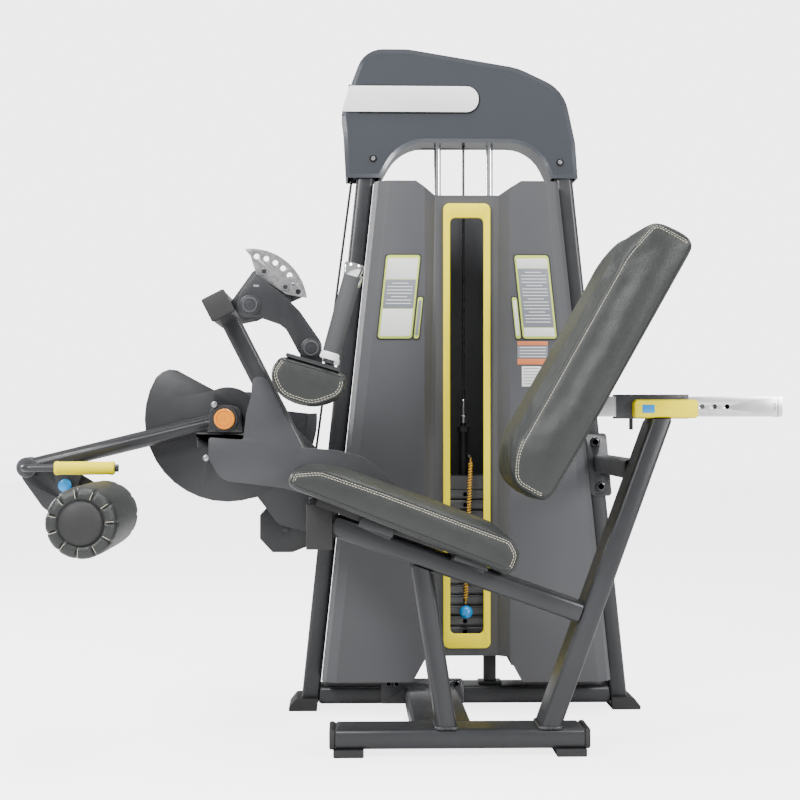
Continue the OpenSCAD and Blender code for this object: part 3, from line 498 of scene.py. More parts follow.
def seam_line(corners, depth, base):
    """The stretch of an outline that is sewn: all but the side that faces base."""
    rows = turned_in(corners, depth)
    sewn = [out.dot(base) < FACES_BASE for _, out in rows]
    start = next(i for i in range(len(rows)) if sewn[i] and not sewn[i - 1])
    points = []
    for k in range(len(rows)):
        i = (start + k) % len(rows)
        if not sewn[i]:
            break
        points.append(rows[i][0])
    return spaced(points, 3 * MM)


def simulate_padding(piece, pinned, cap):
    """Cloth pressure swells the cover between its pinned seams and base. No point moves over cap."""
    frames = 20
    cover = piece.vertex_groups.new(name="sewn")
    for i, weight in enumerate(pinned):
        if weight:
            cover.add([i], 1.0, "REPLACE")
    cloth = piece.modifiers.new("padding", "CLOTH")
    cloth.settings.quality = 6
    cloth.settings.use_pressure = True
    cloth.settings.uniform_pressure_force = 4
    cloth.settings.vertex_group_mass = "sewn"
    cloth.settings.effector_weights.gravity = 0
    cloth.point_cache.frame_start, cloth.point_cache.frame_end = 1, frames
    scene = bpy.context.scene
    for step in range(1, frames + 1):
        scene.frame_set(step)
    swollen = piece.evaluated_get(bpy.context.evaluated_depsgraph_get()).to_mesh()
    for v, w, held in zip(piece.data.vertices, swollen.vertices, pinned):
        push = w.co - v.co
        if not held:
            v.co += push.normalized() * min(push.length, cap)
    piece.modifiers.remove(cloth)
    scene.frame_set(1)


def applied(piece):
    """The piece's mesh with its modifiers worked in."""
    made = bpy.data.meshes.new_from_object(
        piece.evaluated_get(bpy.context.evaluated_depsgraph_get()))
    piece.modifiers.clear()
    piece.data = made


def make_cushion(node, base, round_r, cap, seam_rows, piping_side):
    """A padded piece over a CAD solid: rounded, swollen, seamed and stitched on both end panels."""
    shrink, held_round_corners = 1.5 * MM, 9 * MM
    corners, planes = end_outline(node)
    base = Vector(base).normalized()
    bm = clean_copy(node)
    centre_y = middle(node).y
    for v in bm.verts:
        v.co.y -= math.copysign(shrink, v.co.y - centre_y)
    rims = [e for e in bm.edges
            if is_ridge(e, 60) and abs(e.verts[0].co.y - e.verts[1].co.y) < 1e-5]
    bmesh.ops.bevel(bm, geom=rims, offset=round_r, offset_type="OFFSET", segments=5, profile=0.5,
                    affect="EDGES", clamp_overlap=False)
    bmesh.ops.triangulate(bm, faces=bm.faces)
    piece = bpy.data.objects.new(node + "_cushion", mesh_of(bm, node + "_cushion"))
    bpy.context.scene.collection.objects.link(piece)
    remesh = piece.modifiers.new("even", "REMESH")
    remesh.mode = "VOXEL"
    remesh.voxel_size = 5.5 * MM
    relax = piece.modifiers.new("relax", "SMOOTH")
    relax.iterations = 4
    applied(piece)
    seam_tree = KDTree(2 * len(corners))
    for k, y in enumerate(planes):
        for i, c in enumerate(corners):
            seam_tree.insert(Vector((c.x, y, c.y)), k * len(corners) + i)
    seam_tree.balance()
    base_3d = Vector((base.x, 0, base.y))
    held = [v.normal.dot(base_3d) > 0.8 or seam_tree.find(v.co)[2] < held_round_corners
            for v in piece.data.vertices]
    simulate_padding(piece, held, cap)
    smooth = piece.modifiers.new("ease", "SMOOTH")
    smooth.iterations = 14
    fine = piece.modifiers.new("fine", "SUBSURF")
    fine.levels = fine.render_levels = 1
    applied(piece)
    mesh = piece.data
    mesh.polygons.foreach_set("use_smooth", [True] * len(mesh.polygons))
    mesh.materials.clear()
    mesh.materials.append(MATERIALS["upholstery"])
    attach(piece, BODY_OF[node])
    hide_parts(node)
    add_sewing(node, mesh, corners, planes, base, seam_rows, piping_side)


def add_sewing(node, mesh, corners, planes, base, seam_rows, piping_side):
    """Rows of stitches on the end panels and a piped seam round each of them."""
    skin = BVHTree.FromPolygons([v.co for v in mesh.vertices], [p.vertices[:] for p in mesh.polygons])
    thread, piping = bmesh.new(), bmesh.new()
    stitch, gap = 4.2 * MM, 1.9 * MM
    off = 0.06
    for y, look in ((planes[0] - off, 1), (planes[1] + off, -1)):
        for depth in seam_rows:
            line = seam_line(corners, depth, base)
            points = []
            for p in line:
                hit, normal = skin.ray_cast(Vector((p.x, y, p.y)), Vector((0, look, 0)))[:2]
                if hit is not None:
                    points.append(hit + normal * 0.25 * MM)
            dashes = spaced(points, (stitch + gap) / 4) if len(points) > 2 else []
            for i in range(0, len(dashes) - 4, 4):
                add_tube(thread, dashes[i:i + 4], [0.3 * MM, 0.55 * MM, 0.55 * MM, 0.3 * MM], 5)
        ring = []
        for c, out in turned_in(corners, 0):
            if not piping_side and out.dot(base) > FACES_BASE:
                continue
            origin = Vector((c.x + out.x * 0.05, y + look * 0.01, c.y + out.y * 0.05))
            aim = Vector((-out.x, look, -out.y)).normalized()
            hit, normal = skin.ray_cast(origin, aim)[:2]
            if hit is not None:
                ring.append(hit - normal * 0.35 * MM)
        if len(ring) > 3:
            ring = spaced(ring + ring[:1] if piping_side else ring, 5 * MM)
            ring = [follow(skin, p) for p in ring]
            add_tube(piping, ring, 1.35 * MM, 8, closed=piping_side)
    add_piece(node + "_stitches", mesh_of(thread, "stitches"), "thread", BODY_OF[node])
    add_piece(node + "_piping", mesh_of(piping, "piping"), "piping", BODY_OF[node])


def follow(skin, point):
    """The nearest place on a skin, a hair above it."""
    hit, normal = skin.find_nearest(point)[:2]
    return hit + normal * 0.2 * MM


def make_roller():
    """Vinyl roll, gathered into pleats at both ends round a domed cap, with pale lines of painted highlight along
    the pleats.
    """
    lo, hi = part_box("ankle_roller")
    axis_at = pivot_of("roller_spin")
    radius, pleats, steps = (hi.x - lo.x) / 2, 11, 264
    cap_r = 0.62 * radius
    # Distance from the end, radius, and how much of a pleat's depth shows there
    ends = [(0.007, cap_r - 3 * MM, 1.0), (0.002, cap_r + 3 * MM, 1.0), (0.000, cap_r + 9 * MM, 1.0),
            (0.001, radius - 13 * MM, 1.0), (0.004, radius - 6 * MM, 0.9),
            (0.010, radius - 1.5 * MM, 0.6), (0.020, radius, 0.3), (0.045, radius, 0.05),
            (0.100, radius + 0.5 * MM, 0)]
    length = hi.y - lo.y
    profile = ends + [(length / 2, radius, 0)] + [(length - d, r, w) for d, r, w in ends[::-1]]
    bm = bmesh.new()
    rings = []
    for d, r, weight in profile:
        ring = []
        for k in range(steps):
            a = 2 * math.pi * k / steps
            fold = (1 - abs(math.sin(a * pleats / 2))) ** 4
            dip = weight * fold * 5.5 * MM
            ring.append(bm.verts.new((axis_at.x + math.cos(a) * (r - dip),
                                      lo.y + d + dip * (0.7 if d < length / 2 else -0.7),
                                      axis_at.z + math.sin(a) * (r - dip))))
        rings.append(ring)
    for a, b in zip(rings, rings[1:]):
        for k in range(steps):
            bm.faces.new((a[k], a[(k + 1) % steps], b[(k + 1) % steps], b[k]))
    for ring in (rings[0], rings[-1]):
        bm.faces.new(ring)
    piece = add_piece("ankle_roller_cover", mesh_of(bm, "roller"), "upholstery", "roller",
                      80)
    fine = piece.modifiers.new("fine", "SUBSURF")
    fine.levels = fine.render_levels = 1
    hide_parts("ankle_roller")
    for name, y, out in (("near", lo.y, -1), ("far", hi.y, 1)):
        start = Vector((axis_at.x, y - out * 12 * MM, axis_at.z))
        dome = [(0, cap_r), (9 * MM, cap_r), (12 * MM, cap_r - 1.2 * MM), (15 * MM, cap_r * 0.93),
                (18.5 * MM, cap_r * 0.78), (21.5 * MM, cap_r * 0.55), (23 * MM, cap_r * 0.28),
                (23.5 * MM, 0)]
        turned("roller_cap_" + name, dome, start, (0, out, 0), "black_rubber", "roller",
               64)
        # Thin pale lines beside each pleat's crease, in the thread colour: painted highlight on the fold edges
        gathers = bmesh.new()
        for k in range(pleats):
            a = 2 * math.pi * (k + 0.09) / pleats
            ray = Vector((math.cos(a), 0, math.sin(a)))
            face = Vector((axis_at.x, y + out * 0.4 * MM, axis_at.z))
            bend = face + ray * (radius - 6 * MM) - Vector((0, out * 3.4 * MM, 0))
            line = [face + ray * (cap_r + 5 * MM), face + ray * (radius - 14 * MM), bend]
            add_tube(gathers, line, 0.5 * MM, 5)
        add_piece("roller_gathers_" + name, mesh_of(gathers, "gathers"), "thread", "roller")


# ---- Knobs, pins and bolts ----
def make_knobs():
    """Ball knob of the selector pin and the mushroom knobs of the two pop pins."""
    lo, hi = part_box("selector_pin")
    centre = Vector(((lo.x + hi.x) / 2, lo.y + 15 * MM, (lo.z + hi.z) / 2))
    r = 15 * MM
    ball = [(r - r * math.cos(a), r * math.sin(a)) for a in [math.radians(7.5 * i) for i in range(21)]]
    neck = [(27 * MM, 9 * MM), (37 * MM, 8 * MM), (38 * MM, 5 * MM)]
    piece = turned("selector_knob", ball + neck, centre - Vector((0, r, 0)), (0, 1, 0),
                   "blue_plastic", "selector")
    rod_at = 38 * MM
    rod_len = hi.y - lo.y - rod_at
    turned("selector_rod", [(0, 4.9 * MM), (rod_len - 2 * MM, 4.9 * MM), (rod_len, 3.5 * MM)],
           Vector((centre.x, lo.y + rod_at, centre.z)), (0, 1, 0), "chrome_steel", "selector")
    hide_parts("selector_pin")
    for node, body, out in (("ankle_pin", "ankle_plunger", -1), ("thigh_pin", "lever_plunger", 1)):
        lo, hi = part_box(node)
        r = (hi.x - lo.x) / 2
        y = lo.y if out < 0 else hi.y
        place = Vector(((lo.x + hi.x) / 2, y, (lo.z + hi.z) / 2))
        knob = [(0, 0), (0.6 * MM, r * 0.62), (2.5 * MM, r * 0.9), (6 * MM, r), (13 * MM, r),
                (16 * MM, r * 0.86), (18 * MM, r * 0.6), (23 * MM, r * 0.55), (23.5 * MM, 0)]
        shaped = turned(node + "_knob", knob, place, (0, -out, 0), "blue_plastic", body)
        rod_at = 20 * MM
        length = hi.y - lo.y - rod_at
        turned(node + "_rod", [(0, 4.95 * MM), (length - 2 * MM, 4.95 * MM), (length, 3.6 * MM)],
               place + Vector((0, -out * rod_at, 0)), (0, -out, 0), "chrome_steel", body)
        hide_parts(node)


def button_bolt(name, place, out, r, height, material, body):
    """Round bolt head with a raised rim and a hexagon socket, facing along Y."""
    shape = [(0, 1), (0.7, 1), (1, 0.9), (1, 0.74), (0.82, 0.70), (0.9, 0.34), (0.4, 0.30), (0.4, 0)]
    profile = [(height * a, r * b) for a, b in shape]
    turned(name, profile, place, (0, out, 0), material, body, 40)


def hex_bolt(bm, place, out, r, height):
    """Hexagon head with a chamfer and a washer under it."""
    washer = lathe([(0, r * 1.35), (height * 0.2, r * 1.35), (height * 0.28, r * 1.25)],
                   place, (0, out, 0), 32)
    head = lathe([(height * 0.25, r * 1.1), (height * 0.9, r * 1.1), (height, r * 0.85)],
                 place, (0, out, 0), 6)
    for part in (washer, head):
        mesh = bpy.data.meshes.new("part")
        part.to_mesh(mesh)
        part.free()
        bm.from_mesh(mesh)
        bpy.data.meshes.remove(mesh)


def make_mechanism_details():
    """Orange bearing cap, bolts of the guard and sector, and the bolts and slot of the lever plates."""
    pivot = pivot_of("arm_swing")
    guard_face, lever_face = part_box("near_guard")[0].y, SEAT_Y - 26 * MM
    place = Vector((pivot.x, guard_face - 16.5 * MM, pivot.z))
    r = 21 * MM
    profile = [(0, 0), (0, 1.5 * MM), (1.5 * MM, 1.8 * MM), (1.5 * MM, 5 * MM), (0.6 * MM, 6 * MM),
               (0.6 * MM, 14 * MM), (1.8 * MM, 14.6 * MM), (1.8 * MM, 16 * MM), (0.2 * MM, 16.6 * MM),
               (0.4 * MM, r - 1.2 * MM), (2 * MM, r + 0.4 * MM), (15.6 * MM, r + 0.4 * MM)]
    turned("bearing_cap", profile, place, (0, 1, 0), "orange_plastic", "frame", 64)
    turned("bearing_ring", [(0, r + 1 * MM), (0, 27 * MM), (8 * MM, 28 * MM), (8 * MM, r + 1 * MM)],
           place + Vector((0, 6 * MM, 0)), (0, 1, 0), "black_rubber", "frame", 64)
    bolts = bmesh.new()
    for x, z in ((-0.545, 0.692), (-0.562, 0.581)):
        hex_bolt(bolts, Vector((TOWER.x + x, guard_face + 3 * MM, z)), -1, 5 * MM, 6 * MM)
    lever, tip = pivot_of("thigh_lever"), pivot_of("thigh_pad_tilt")
    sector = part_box("sector_plate")[0].y
    for x, z in ((27, 67), (69, 36)):
        centre = Vector((lever.x + x * MM, sector, lever.z + z * MM))
        button_bolt("sector_bolt_" + str(x), centre, -1, 7.5 * MM, 4.4 * MM, "zinc_bolts", "frame")
    add_piece("bearing_bolts", mesh_of(bolts, "bearing_bolts"), "zinc_bolts", "frame")
    for name, at in (("pivot", lever), ("tip", tip)):
        near = Vector((at.x, lever_face, at.z))
        button_bolt("lever_bolt_" + name, near, -1, 16 * MM, 9 * MM, "guard_steel", "lever")
        turned("lever_washer_" + name, [(0, 20 * MM), (1.6 * MM, 20 * MM), (2.2 * MM, 18.6 * MM)],
               near, (0, -1, 0), "frame_steel", "lever", 48)
    slot_mark = [(-0.006, -0.0022), (0.006, -0.0022), (0.006, 0.0022), (-0.006, 0.0022)]
    slot_at = Vector((lever.x + 12 * MM, lever_face, lever.z + 38 * MM))
    rounded_panel("lever_slot", slot_mark, 0.8 * MM, slot_at, "zinc_bolts", "lever",
                  1.6 * MM)


def make_handles():
    """Foam grips on the handle bars, with a chrome cap on top and a pale collar below."""
    lo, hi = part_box("handle_grips")
    lean = math.atan2(50, 181)
    along = Vector((math.sin(lean), 0, math.cos(lean)))
    r = 16 * MM
    for name, y in (("near", lo.y + r), ("far", hi.y - r)):
        foot = Vector((lo.x + r * math.cos(lean), y, lo.z + r * math.sin(lean)))
        head = Vector((hi.x - r * math.cos(lean), y, hi.z - r * math.sin(lean)))
        length = (head - foot).length
        grip = [(6 * MM, 11 * MM), (6 * MM, r * 0.96), (9 * MM, r), (length * 0.5, r * 1.03),
                (length - 5 * MM, r), (length - 3 * MM, r * 0.94)]
        piece = turned("handle_grip_" + name, grip, foot, along, "grip_foam", "thigh_rest",
                       40)
        top = length + (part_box("pad_bracket")[1].z - hi.z) / math.cos(lean) + 3 * MM
        cap = [(length - 6 * MM, r * 0.98), (length - 4 * MM, r * 1.04), (top - 14 * MM, r * 1.18),
               (top - 4 * MM, r * 1.24), (top - 1 * MM, r * 1.16), (top, r * 1.0), (top + 0.5 * MM, 0)]
        turned("handle_cap_" + name, cap, foot, along, "chrome_steel", "thigh_rest", 40)
        collar = [(-7 * MM, 12 * MM), (-7 * MM, r * 1.12), (-4 * MM, r * 1.18), (4 * MM, r * 1.14),
                  (7 * MM, r * 0.98)]
        turned("handle_collar_" + name, collar, foot, along, "silver_trim", "thigh_rest",
               40)
    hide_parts("handle_grips")


def make_ankle_grip():
    """Yellow grip with ribbed ends, and the rim of the ring at the arm's end."""
    lo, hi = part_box("ankle_grip")
    r = (hi.z - lo.z) / 2
    start = Vector((lo.x, (lo.y + hi.y) / 2, (lo.z + hi.z) / 2))
    length = hi.x - lo.x
    grip = [(0, 8.2 * MM), (0, r * 0.86), (3 * MM, r), (8 * MM, r), (10 * MM, r * 0.93),
            (length * 0.5, r * 0.97), (length - 10 * MM, r * 0.93), (length - 8 * MM, r),
            (length - 3 * MM, r), (length, r * 0.84), (length, 8.2 * MM)]
    piece = turned("ankle_grip_shape", grip, start, (1, 0, 0), "yellow_plastic", "ankle")
    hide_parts("ankle_grip")
    tilt = pivot_of("ankle_tilt")
    ring_at = Vector((tilt.x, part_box("arm_tube")[0].y - 1.5 * MM, tilt.z))
    rim = [(0, 15 * MM), (0, 20.5 * MM), (2 * MM, 21.5 * MM), (3 * MM, 20.5 * MM), (3 * MM, 15 * MM)]
    turned("ring_rim", rim, ring_at, (0, 1, 0), "guard_steel", "arm", 48)


# ---- Adjuster and slide tube ----
def make_adjuster():
    """Yellow release block with its plain blue label, and the slide tube's end cap."""
    lo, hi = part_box("release_handle")
    block_depth = 21 * MM
    block = [(lo.x, lo.z), (hi.x, lo.z), (hi.x, hi.z), (lo.x, hi.z)]
    place = Vector((0, lo.y + block_depth, 0))
    piece = rounded_panel("release_block", block, block_depth, place, "yellow_plastic", "release",
                          8 * MM)
    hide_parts("release_handle")
    label_lo, label_hi = lo.x + 0.13 * (hi.x - lo.x), lo.x + 0.32 * (hi.x - lo.x)
    mid = (lo.z + hi.z) / 2
    label = [(label_lo, mid - 8 * MM), (label_hi, mid - 8 * MM), (label_hi, mid + 8 * MM),
             (label_lo, mid + 8 * MM)]
    rounded_panel("release_label", label, 0.6 * MM, Vector((0, lo.y, 0)), "blue_plastic", "release",
                  1 * MM)
    tube_lo, tube_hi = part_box("slide_tube")
    half = (tube_hi.z - tube_lo.z) / 2
    centre = Vector((0, (tube_lo.y + tube_hi.y) / 2, (tube_lo.z + tube_hi.z) / 2))
    seam_at = tube_hi.x - 9 * MM
    square = [Vector((seam_at, centre.y + a * half, centre.z + b * half))
              for a, b in ((-1, -1), (1, -1), (1, 1), (-1, 1))]
    ring = []
    for a, b in zip(square, square[1:] + square[:1]):
        ring += [a.lerp(b, t) for t in (0.03, 0.5, 0.97)]
    tube("slide_cap_seam", ring, 0.7 * MM, "hole_shade_and_seam", "backrest", 6, closed=True)
    mark = [(-0.7 * MM, -7 * MM), (0.7 * MM, -7 * MM), (0.7 * MM, 7 * MM), (-0.7 * MM, 7 * MM)]
    rounded_panel("slide_cap_mark", mark, 0.4 * MM, Vector((seam_at - 6 * MM, tube_lo.y, centre.z)),
                  "hole_shade_and_seam", "backrest", 0.5 * MM)
    inner = half - 3 * MM
    plug = [(-inner, -inner), (inner, -inner), (inner, inner), (-inner, inner)]
    bm = bmesh.new()
    bm.faces.new([bm.verts.new((tube_hi.x - 1 * MM, centre.y + y, centre.z + z)) for y, z in plug])
    extruded(bm, (-10 * MM, 0, 0))
    add_piece("slide_plug", mesh_of(bm, "slide_plug"), "black_rubber", "backrest")


# ---- Covers, shroud and labels ----
def slanted(x, z, lean):
    """A point on a cover's front face, moved with the cover's lean from its height."""
    placard_z, lean_deg = 0.93, 6
    return (x + lean * (z - placard_z) * math.tan(math.radians(lean_deg)), z)


def placard(side):
    """Generic instruction plate: pale and grey fields with plain rules, and a small side tab."""
    left = side < 0
    place = Vector((TOWER.x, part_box("front_cover")[0].y, 0))
    x0, x1 = 0.119, 0.187
    thin, on_rim = 0.4 * MM, 1.7 * MM

    def field(name, x0, x1, z0, z1, material, depth, lift=0.0, r=2 * MM):
        corners = [(x0, z0), (x1, z0), (x1, z1), (x0, z1)]
        if left:
            corners = [(-x, z) for x, z in corners][::-1]
        outline = [slanted(x, z, -side) for x, z in corners]
        rounded_panel(f"{name}_{'left' if left else 'right'}", outline, depth,
                      place - Vector((0, lift, 0)), material, "frame", r)

    low, high = (0.908, 0.972) if left else (0.866, 0.997)
    field("placard_edge", 0.112, 0.194, 0.838, 1.030, "black_rubber", 1.2 * MM, 0, 8 * MM)
    field("placard_rim", 0.115, 0.191, 0.841, 1.027, "label_lime", 0.5 * MM, 1.2 * MM, 7 * MM)
    field("placard_top", x0, x1, high + MM, 1.020, "label_white", thin, on_rim)
    field("placard_middle", x0, x1, low, high, "label_grey", thin, on_rim)
    field("placard_foot", x0, x1, 0.846, low - MM, "label_white", thin, on_rim)
    field("tab_edge", 0.097, 0.113, 0.838, 0.936, "black_rubber", 1.2 * MM, 0.1 * MM, 5 * MM)
    field("tab_face", 0.0995, 0.1105, 0.841, 0.933, "label_lime", 0.5 * MM, 1.2 * MM, 4 * MM)
    field("tab_field", 0.1015, 0.1085, 0.848, 0.926, "label_grey" if left else "label_white",
          thin, on_rim, 1 * MM)
    rules, top, step = (7, 0.964, 7.5 * MM) if left else (16, 0.989, 7.4 * MM)
    for i in range(rules):
        z = top - i * step
        inset = 0.006 if i % 4 else 0.016
        field(f"rule_{i}", x0 + inset, x1 - inset, z - 0.9 * MM, z + 0.9 * MM, "label_white",
              0.25 * MM, 2.1 * MM, 0.4 * MM)


def make_covers():
    """Stack covers with eased folds, and the placards and labels on the front one."""
    for node in ("front_cover", "rear_cover"):
        bm = clean_copy(node)
        ease(bm, [e for e in bm.edges if is_ridge(e, 12) and e.calc_length() > 0.06], 4 * MM, 3)
        piece = add_piece(node + "_shape", mesh_of(bm, node), "cover_plastic", "frame")
        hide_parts(node)
    for side in (-1, 1):
        placard(side)
    place = Vector((TOWER.x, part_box("front_cover")[0].y, 0))
    for name, x0, x1, z0, z1, material in (
            ("label_a", 0.112, 0.180, 0.826, 0.835, "label_orange"),
            ("label_b", 0.112, 0.180, 0.797, 0.825, "label_grey"),
            ("label_c", 0.112, 0.180, 0.783, 0.796, "label_orange"),
            ("label_d", 0.122, 0.165, 0.734, 0.779, "label_white")):
        outline = [(x0, z0), (x1, z0), (x1, z1), (x0, z1)]
        rounded_panel(name, outline, 0.5 * MM, place, material, "frame", 0.6 * MM)
    for name, count, x0, x1, top, material in (("b", 4, 0.117, 0.175, 0.821, "label_white"),
                                               ("d", 6, 0.126, 0.161, 0.774, "label_grey")):
        for i in range(count):
            z = top - i * 6.8 * MM
            line = [(x0, z - 0.8 * MM), (x1, z - 0.8 * MM), (x1, z + 0.8 * MM), (x0, z + 0.8 * MM)]
            rounded_panel(f"label_rule_{name}{i}", line, 0.25 * MM, place - Vector((0, 0.5 * MM, 0)),
                          material, "frame", 0.3 * MM)


def make_shroud():
    """Shroud halves with a sloped band and a fine step round the face, screws, and near-black painted shade for
    the screw cups, the vents and the groove.
    """
    band, slope, step, sunk = 24 * MM, 8 * MM, 1.2 * MM, 1.6 * MM
    cup = [(-0.2 * MM, 0), (0.3 * MM, 3 * MM), (0.3 * MM, 6.2 * MM), (1.3 * MM, 7 * MM), (0, 8.5 * MM)]
    vent = [(-8 * MM, 3.4 * MM), (-4.6 * MM, 3.4 * MM), (-4.6 * MM, 0)]
    for node, end, out in (("front_shroud", "front", -1), ("rear_shroud", "rear", 1)):
        bm = clean_copy(node)
        lo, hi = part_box(node)
        face = (lo.y if out < 0 else hi.y) - out * sunk
        front = max((f for f in bm.faces if f.normal.y * out > 0.99), key=lambda f: f.calc_area())
        outline = set(front.verts)
        for width, back, moved in ((band, slope, outline), (step, sunk, None)):
            bmesh.ops.inset_region(bm, faces=[front], thickness=width, use_even_offset=True)
            for v in moved or front.verts:
                v.co.y -= out * back
        bm.normal_update()
        rim = [e for e in bm.edges if all(v in outline for v in e.verts) and is_ridge(e, 40)]
        ease(bm, rim, 4 * MM, 3)
        piece = add_piece(node + "_shape", mesh_of(bm, node), "shroud_plastic", "frame",
                          14)
        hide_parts(node)
        for i, (x, z) in enumerate(((-0.209, 1.254), (0.2175, 1.247))):
            place = Vector((TOWER.x + x, face, z))
            # Each screw sits in a near-black disc of painted shade for its cup
            turned(f"shroud_cup_{end}_{i}", cup, place, (0, out, 0), "hole_shade_and_seam", "frame",
                   32)
            button_bolt(f"shroud_screw_{end}_{i}", place, out, 5 * MM, 1.8 * MM, "zinc_bolts", "frame")
        for i, (x, z) in enumerate(((-0.191, 1.482), (0.170, 1.424))):
            # The vents are near-black discs of painted shade
            turned(f"shroud_vent_{end}_{i}", vent, Vector((TOWER.x + x, face, z)), (0, out, 0),
                   "hole_shade_and_seam", "frame", 24)
        # A near-black line of painted shade round the stripe's rounded end
        round_end = arc(Vector((TOWER.x + 0.002, face, 1.3895)), 31 * MM, -90, 90, 14)
        groove = [Vector((TOWER.x - 0.243, face, 1.3585)), *round_end,
                  Vector((TOWER.x - 0.233, face, 1.4205))]
        tube("stripe_groove_" + end, groove, 1.5 * MM, "hole_shade_and_seam", "frame", 6)
    eased("shroud_stripe", radius=1.2 * MM)


# ---- Steel cables ----
def make_cables():
    """The fixed run over the pulleys, the turn on the cam, and the riser above the stack."""
    centre, left, low = (pivot_of(j + "_pulley_turn") for j in ("centre", "left", "lower"))
    pivot = pivot_of("arm_swing")
    r, cam_r, cable_r = TOWER.x - centre.x, 180 * MM, 2.9 * MM
    down = left - low
    down_tilt = math.degrees(math.atan2(down.z, down.x)) + math.degrees(
        math.asin(2 * r / math.hypot(down.x, down.z)))
    up = pivot - low
    up_tilt = math.degrees(math.atan2(up.z, up.x)) - math.degrees(
        math.asin((r + cam_r) / math.hypot(up.x, up.z)))

    def flat(p):
        return Vector((p.x, TOWER.y, p.z))

    route = (arc(flat(centre), r, 0, 90, 10) + arc(flat(left), r, 90, down_tilt + 90, 10)
             + arc(flat(low), r, down_tilt - 90, up_tilt - 270, 24))
    route.append(arc(flat(pivot), cam_r, up_tilt - 90, up_tilt - 90, 1)[0])
    fixed = tube("lifting_cable_shape", route, cable_r, "cable_jacket", "frame", 12)
    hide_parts("lifting_cable")
    wound = tube("cam_cable_shape", arc(flat(pivot), cam_r, -95, -8, 30), 2.8 * MM, "cable_jacket",
                 "arm", 12)
    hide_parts("cam_cable")
    lo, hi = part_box("stack_cable")
    steps = 40
    line = [Vector((TOWER.x, TOWER.y, lo.z + (hi.z - lo.z) * i / steps)) for i in range(steps + 1)]
    riser = tube("stack_cable_shape", line, cable_r, "cable_jacket", "frame", 12)
    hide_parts("stack_cable")
    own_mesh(riser)
    fitting = [(0, 8 * MM), (16 * MM, 8 * MM), (18 * MM, 6 * MM), (52 * MM, 5 * MM), (54 * MM, 3.2 * MM)]
    turned("cable_ferrule", fitting, Vector((TOWER.x, TOWER.y, lo.z - 18 * MM)), (0, 0, 1),
           "zinc_bolts", "stack", 24)


# ---- Welds ----
def weld_loop(name, corners, r=3.6 * MM):
    """A rippled bead round a joint."""
    line = spaced([Vector(c) for c in corners + corners[:1]], 3.5 * MM)
    radii = [r * (1 + 0.18 * math.sin(i * 2.1) + 0.10 * math.sin(i * 0.7)) for i in range(len(line))]
    bm = bmesh.new()
    add_tube(bm, line[:-1], radii[:-1], 8, closed=True)
    add_piece(name, mesh_of(bm, name), "frame_steel", "frame", 60)


def make_welds():
    """Beads where posts stand on the base bar and the mechanism post on the cross tube."""
    raised, cut = 1 * MM, 5 * MM
    for node in ("front_post", "rear_post", "mechanism_post"):
        bm = clean_copy(node)
        foot_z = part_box(node)[0].z
        foot = [v.co for v in bm.verts if abs(v.co.z - foot_z) < 1e-4]
        x0, x1 = min(c.x for c in foot), max(c.x for c in foot)
        y0, y1 = min(c.y for c in foot), max(c.y for c in foot)
        bm.free()
        z = foot_z + raised
        weld_loop(node + "_weld", [
            (x0, y0 + cut, z), (x0 + cut, y0, z), (x1 - cut, y0, z), (x1, y0 + cut, z),
            (x1, y1 - cut, z), (x1 - cut, y1, z), (x0 + cut, y1, z), (x0, y1 - cut, z)])


def make_seat_board():
    """Board between the seat beam and the cushion, which fills the wedge over the beam."""
    lean, width = math.radians(19.54), 190 * MM
    start = Vector((TOWER.x - 0.297, 0.4532))
    along, over = Vector((math.cos(lean), -math.sin(lean))), Vector((math.sin(lean), math.cos(lean)))
    corners = [(-0.045, 0.0285), (0.352, 0.0285), (0.352, 0.0295), (-0.045, 0.0435)]
    outline = [start + along * u + over * w for u, w in corners]
    place = Vector((0, SEAT_Y + width / 2, 0))
    rounded_panel("seat_board", [(p.x, p.y) for p in outline], width, place, "black_rubber", "frame",
                  0.2 * MM)


def make_flange_bolts():
    """Hexagon bolts on the flanges of the two tie tubes."""
    bolts = bmesh.new()
    face = TOWER.y - 58 * MM
    for x, z, r in ((-0.174, 0.062, 6), (-0.156, 0.062, 6), (-0.038, 0.062, 6), (-0.020, 0.062, 6),
                    (0.296, 0.609, 8.5), (0.309, 0.508, 8.5)):
        hex_bolt(bolts, Vector((TOWER.x + x, face, z)), -1, r * MM, 9 * MM)
    add_piece("flange_bolts", mesh_of(bolts, "flange_bolts"), "black_chrome", "frame")


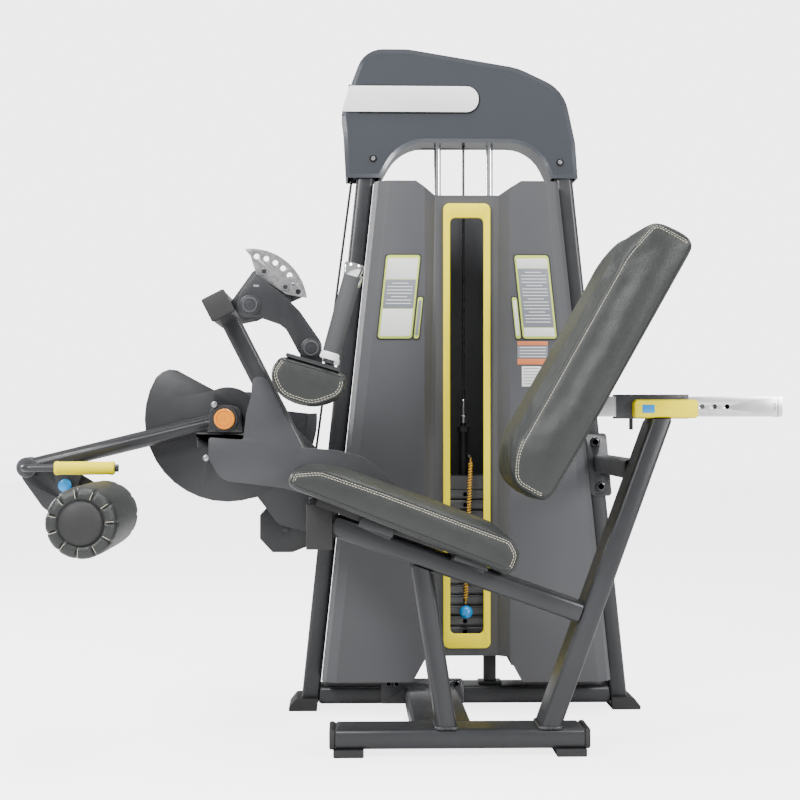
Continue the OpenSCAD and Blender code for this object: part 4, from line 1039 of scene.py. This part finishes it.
# ---- Putting it together ----
TUBES = ["base_bar", "front_post", "rear_post", "cross_tube", "lower_tie_beam", "upper_tie_tube",
         "tower_leg_left", "tower_leg_right", "tower_base_beam", "tower_top_beam", "mechanism_post",
         "seat_beam", "stack_posts"]
PLATES = {  # How far each one's edges are rounded, in millimetres
    "rubber_feet": 4.0, "end_caps": 4.5, "window_frame": 2.2, "thigh_bracket": 0.8,
    "far_support_plate": 0.8, "pulley_brackets": 0.8, "adjuster_housing": 1.0, "arm_disc": 0.8,
    "back_bracket": 1.5, "near_guard": 0.8,
    "lever_plates": 0.8, "sector_plate": 0.5, "arm_tube": 0.7, "ankle_link": 0.7, "pad_bracket": 0.7,
    "bearings": 0.8, "slide_tube": 1.2, "cam": 0.6,
}
PLATE_MATERIAL = {"near_guard": "guard_steel", "slide_tube": "stainless",
                  "sector_plate": "punched_steel"}
ROUND_EDGES = dict.fromkeys(("end_caps", "rubber_feet"), lambda e: e.calc_length() > 8 * MM)
CAD_MATERIAL = {"frame_bolts": "black_chrome"}

make_camera()
MATERIALS = make_materials()
make_stage()
make_lanyard()
for tube_node in TUBES:
    eased(tube_node, long_radius=9 * MM)
for plate_node, edge_mm in PLATES.items():
    eased(plate_node, radius=edge_mm * MM, material=PLATE_MATERIAL.get(plate_node),
          only=ROUND_EDGES.get(plate_node))
for stack_node in ("resting_plates", "selected_plates"):
    eased(stack_node, long_radius=5 * MM, long_len=0.2, radius=0)
make_covers()
make_shroud()
make_cables()
make_welds()
make_mechanism_details()
make_knobs()
make_handles()
make_ankle_grip()
make_adjuster()
make_seat_board()
make_flange_bolts()
make_roller()
make_cushion("seat_pad", (-0.334, -0.942), 15 * MM, 7 * MM, (10 * MM, 14 * MM), False)
make_cushion("back_pad", (0.871, -0.491), 18 * MM, 8 * MM, (12 * MM, 16 * MM), True)
make_cushion("thigh_pad", (0.278, 0.960), 10 * MM, 5 * MM, (8 * MM, 12 * MM), False)

for node_name, shown in NODES.items():
    if not shown.hide_render:
        shown.data.materials.clear()
        shown.data.materials.append(MATERIALS[CAD_MATERIAL.get(node_name, SLOT_OF[node_name])])
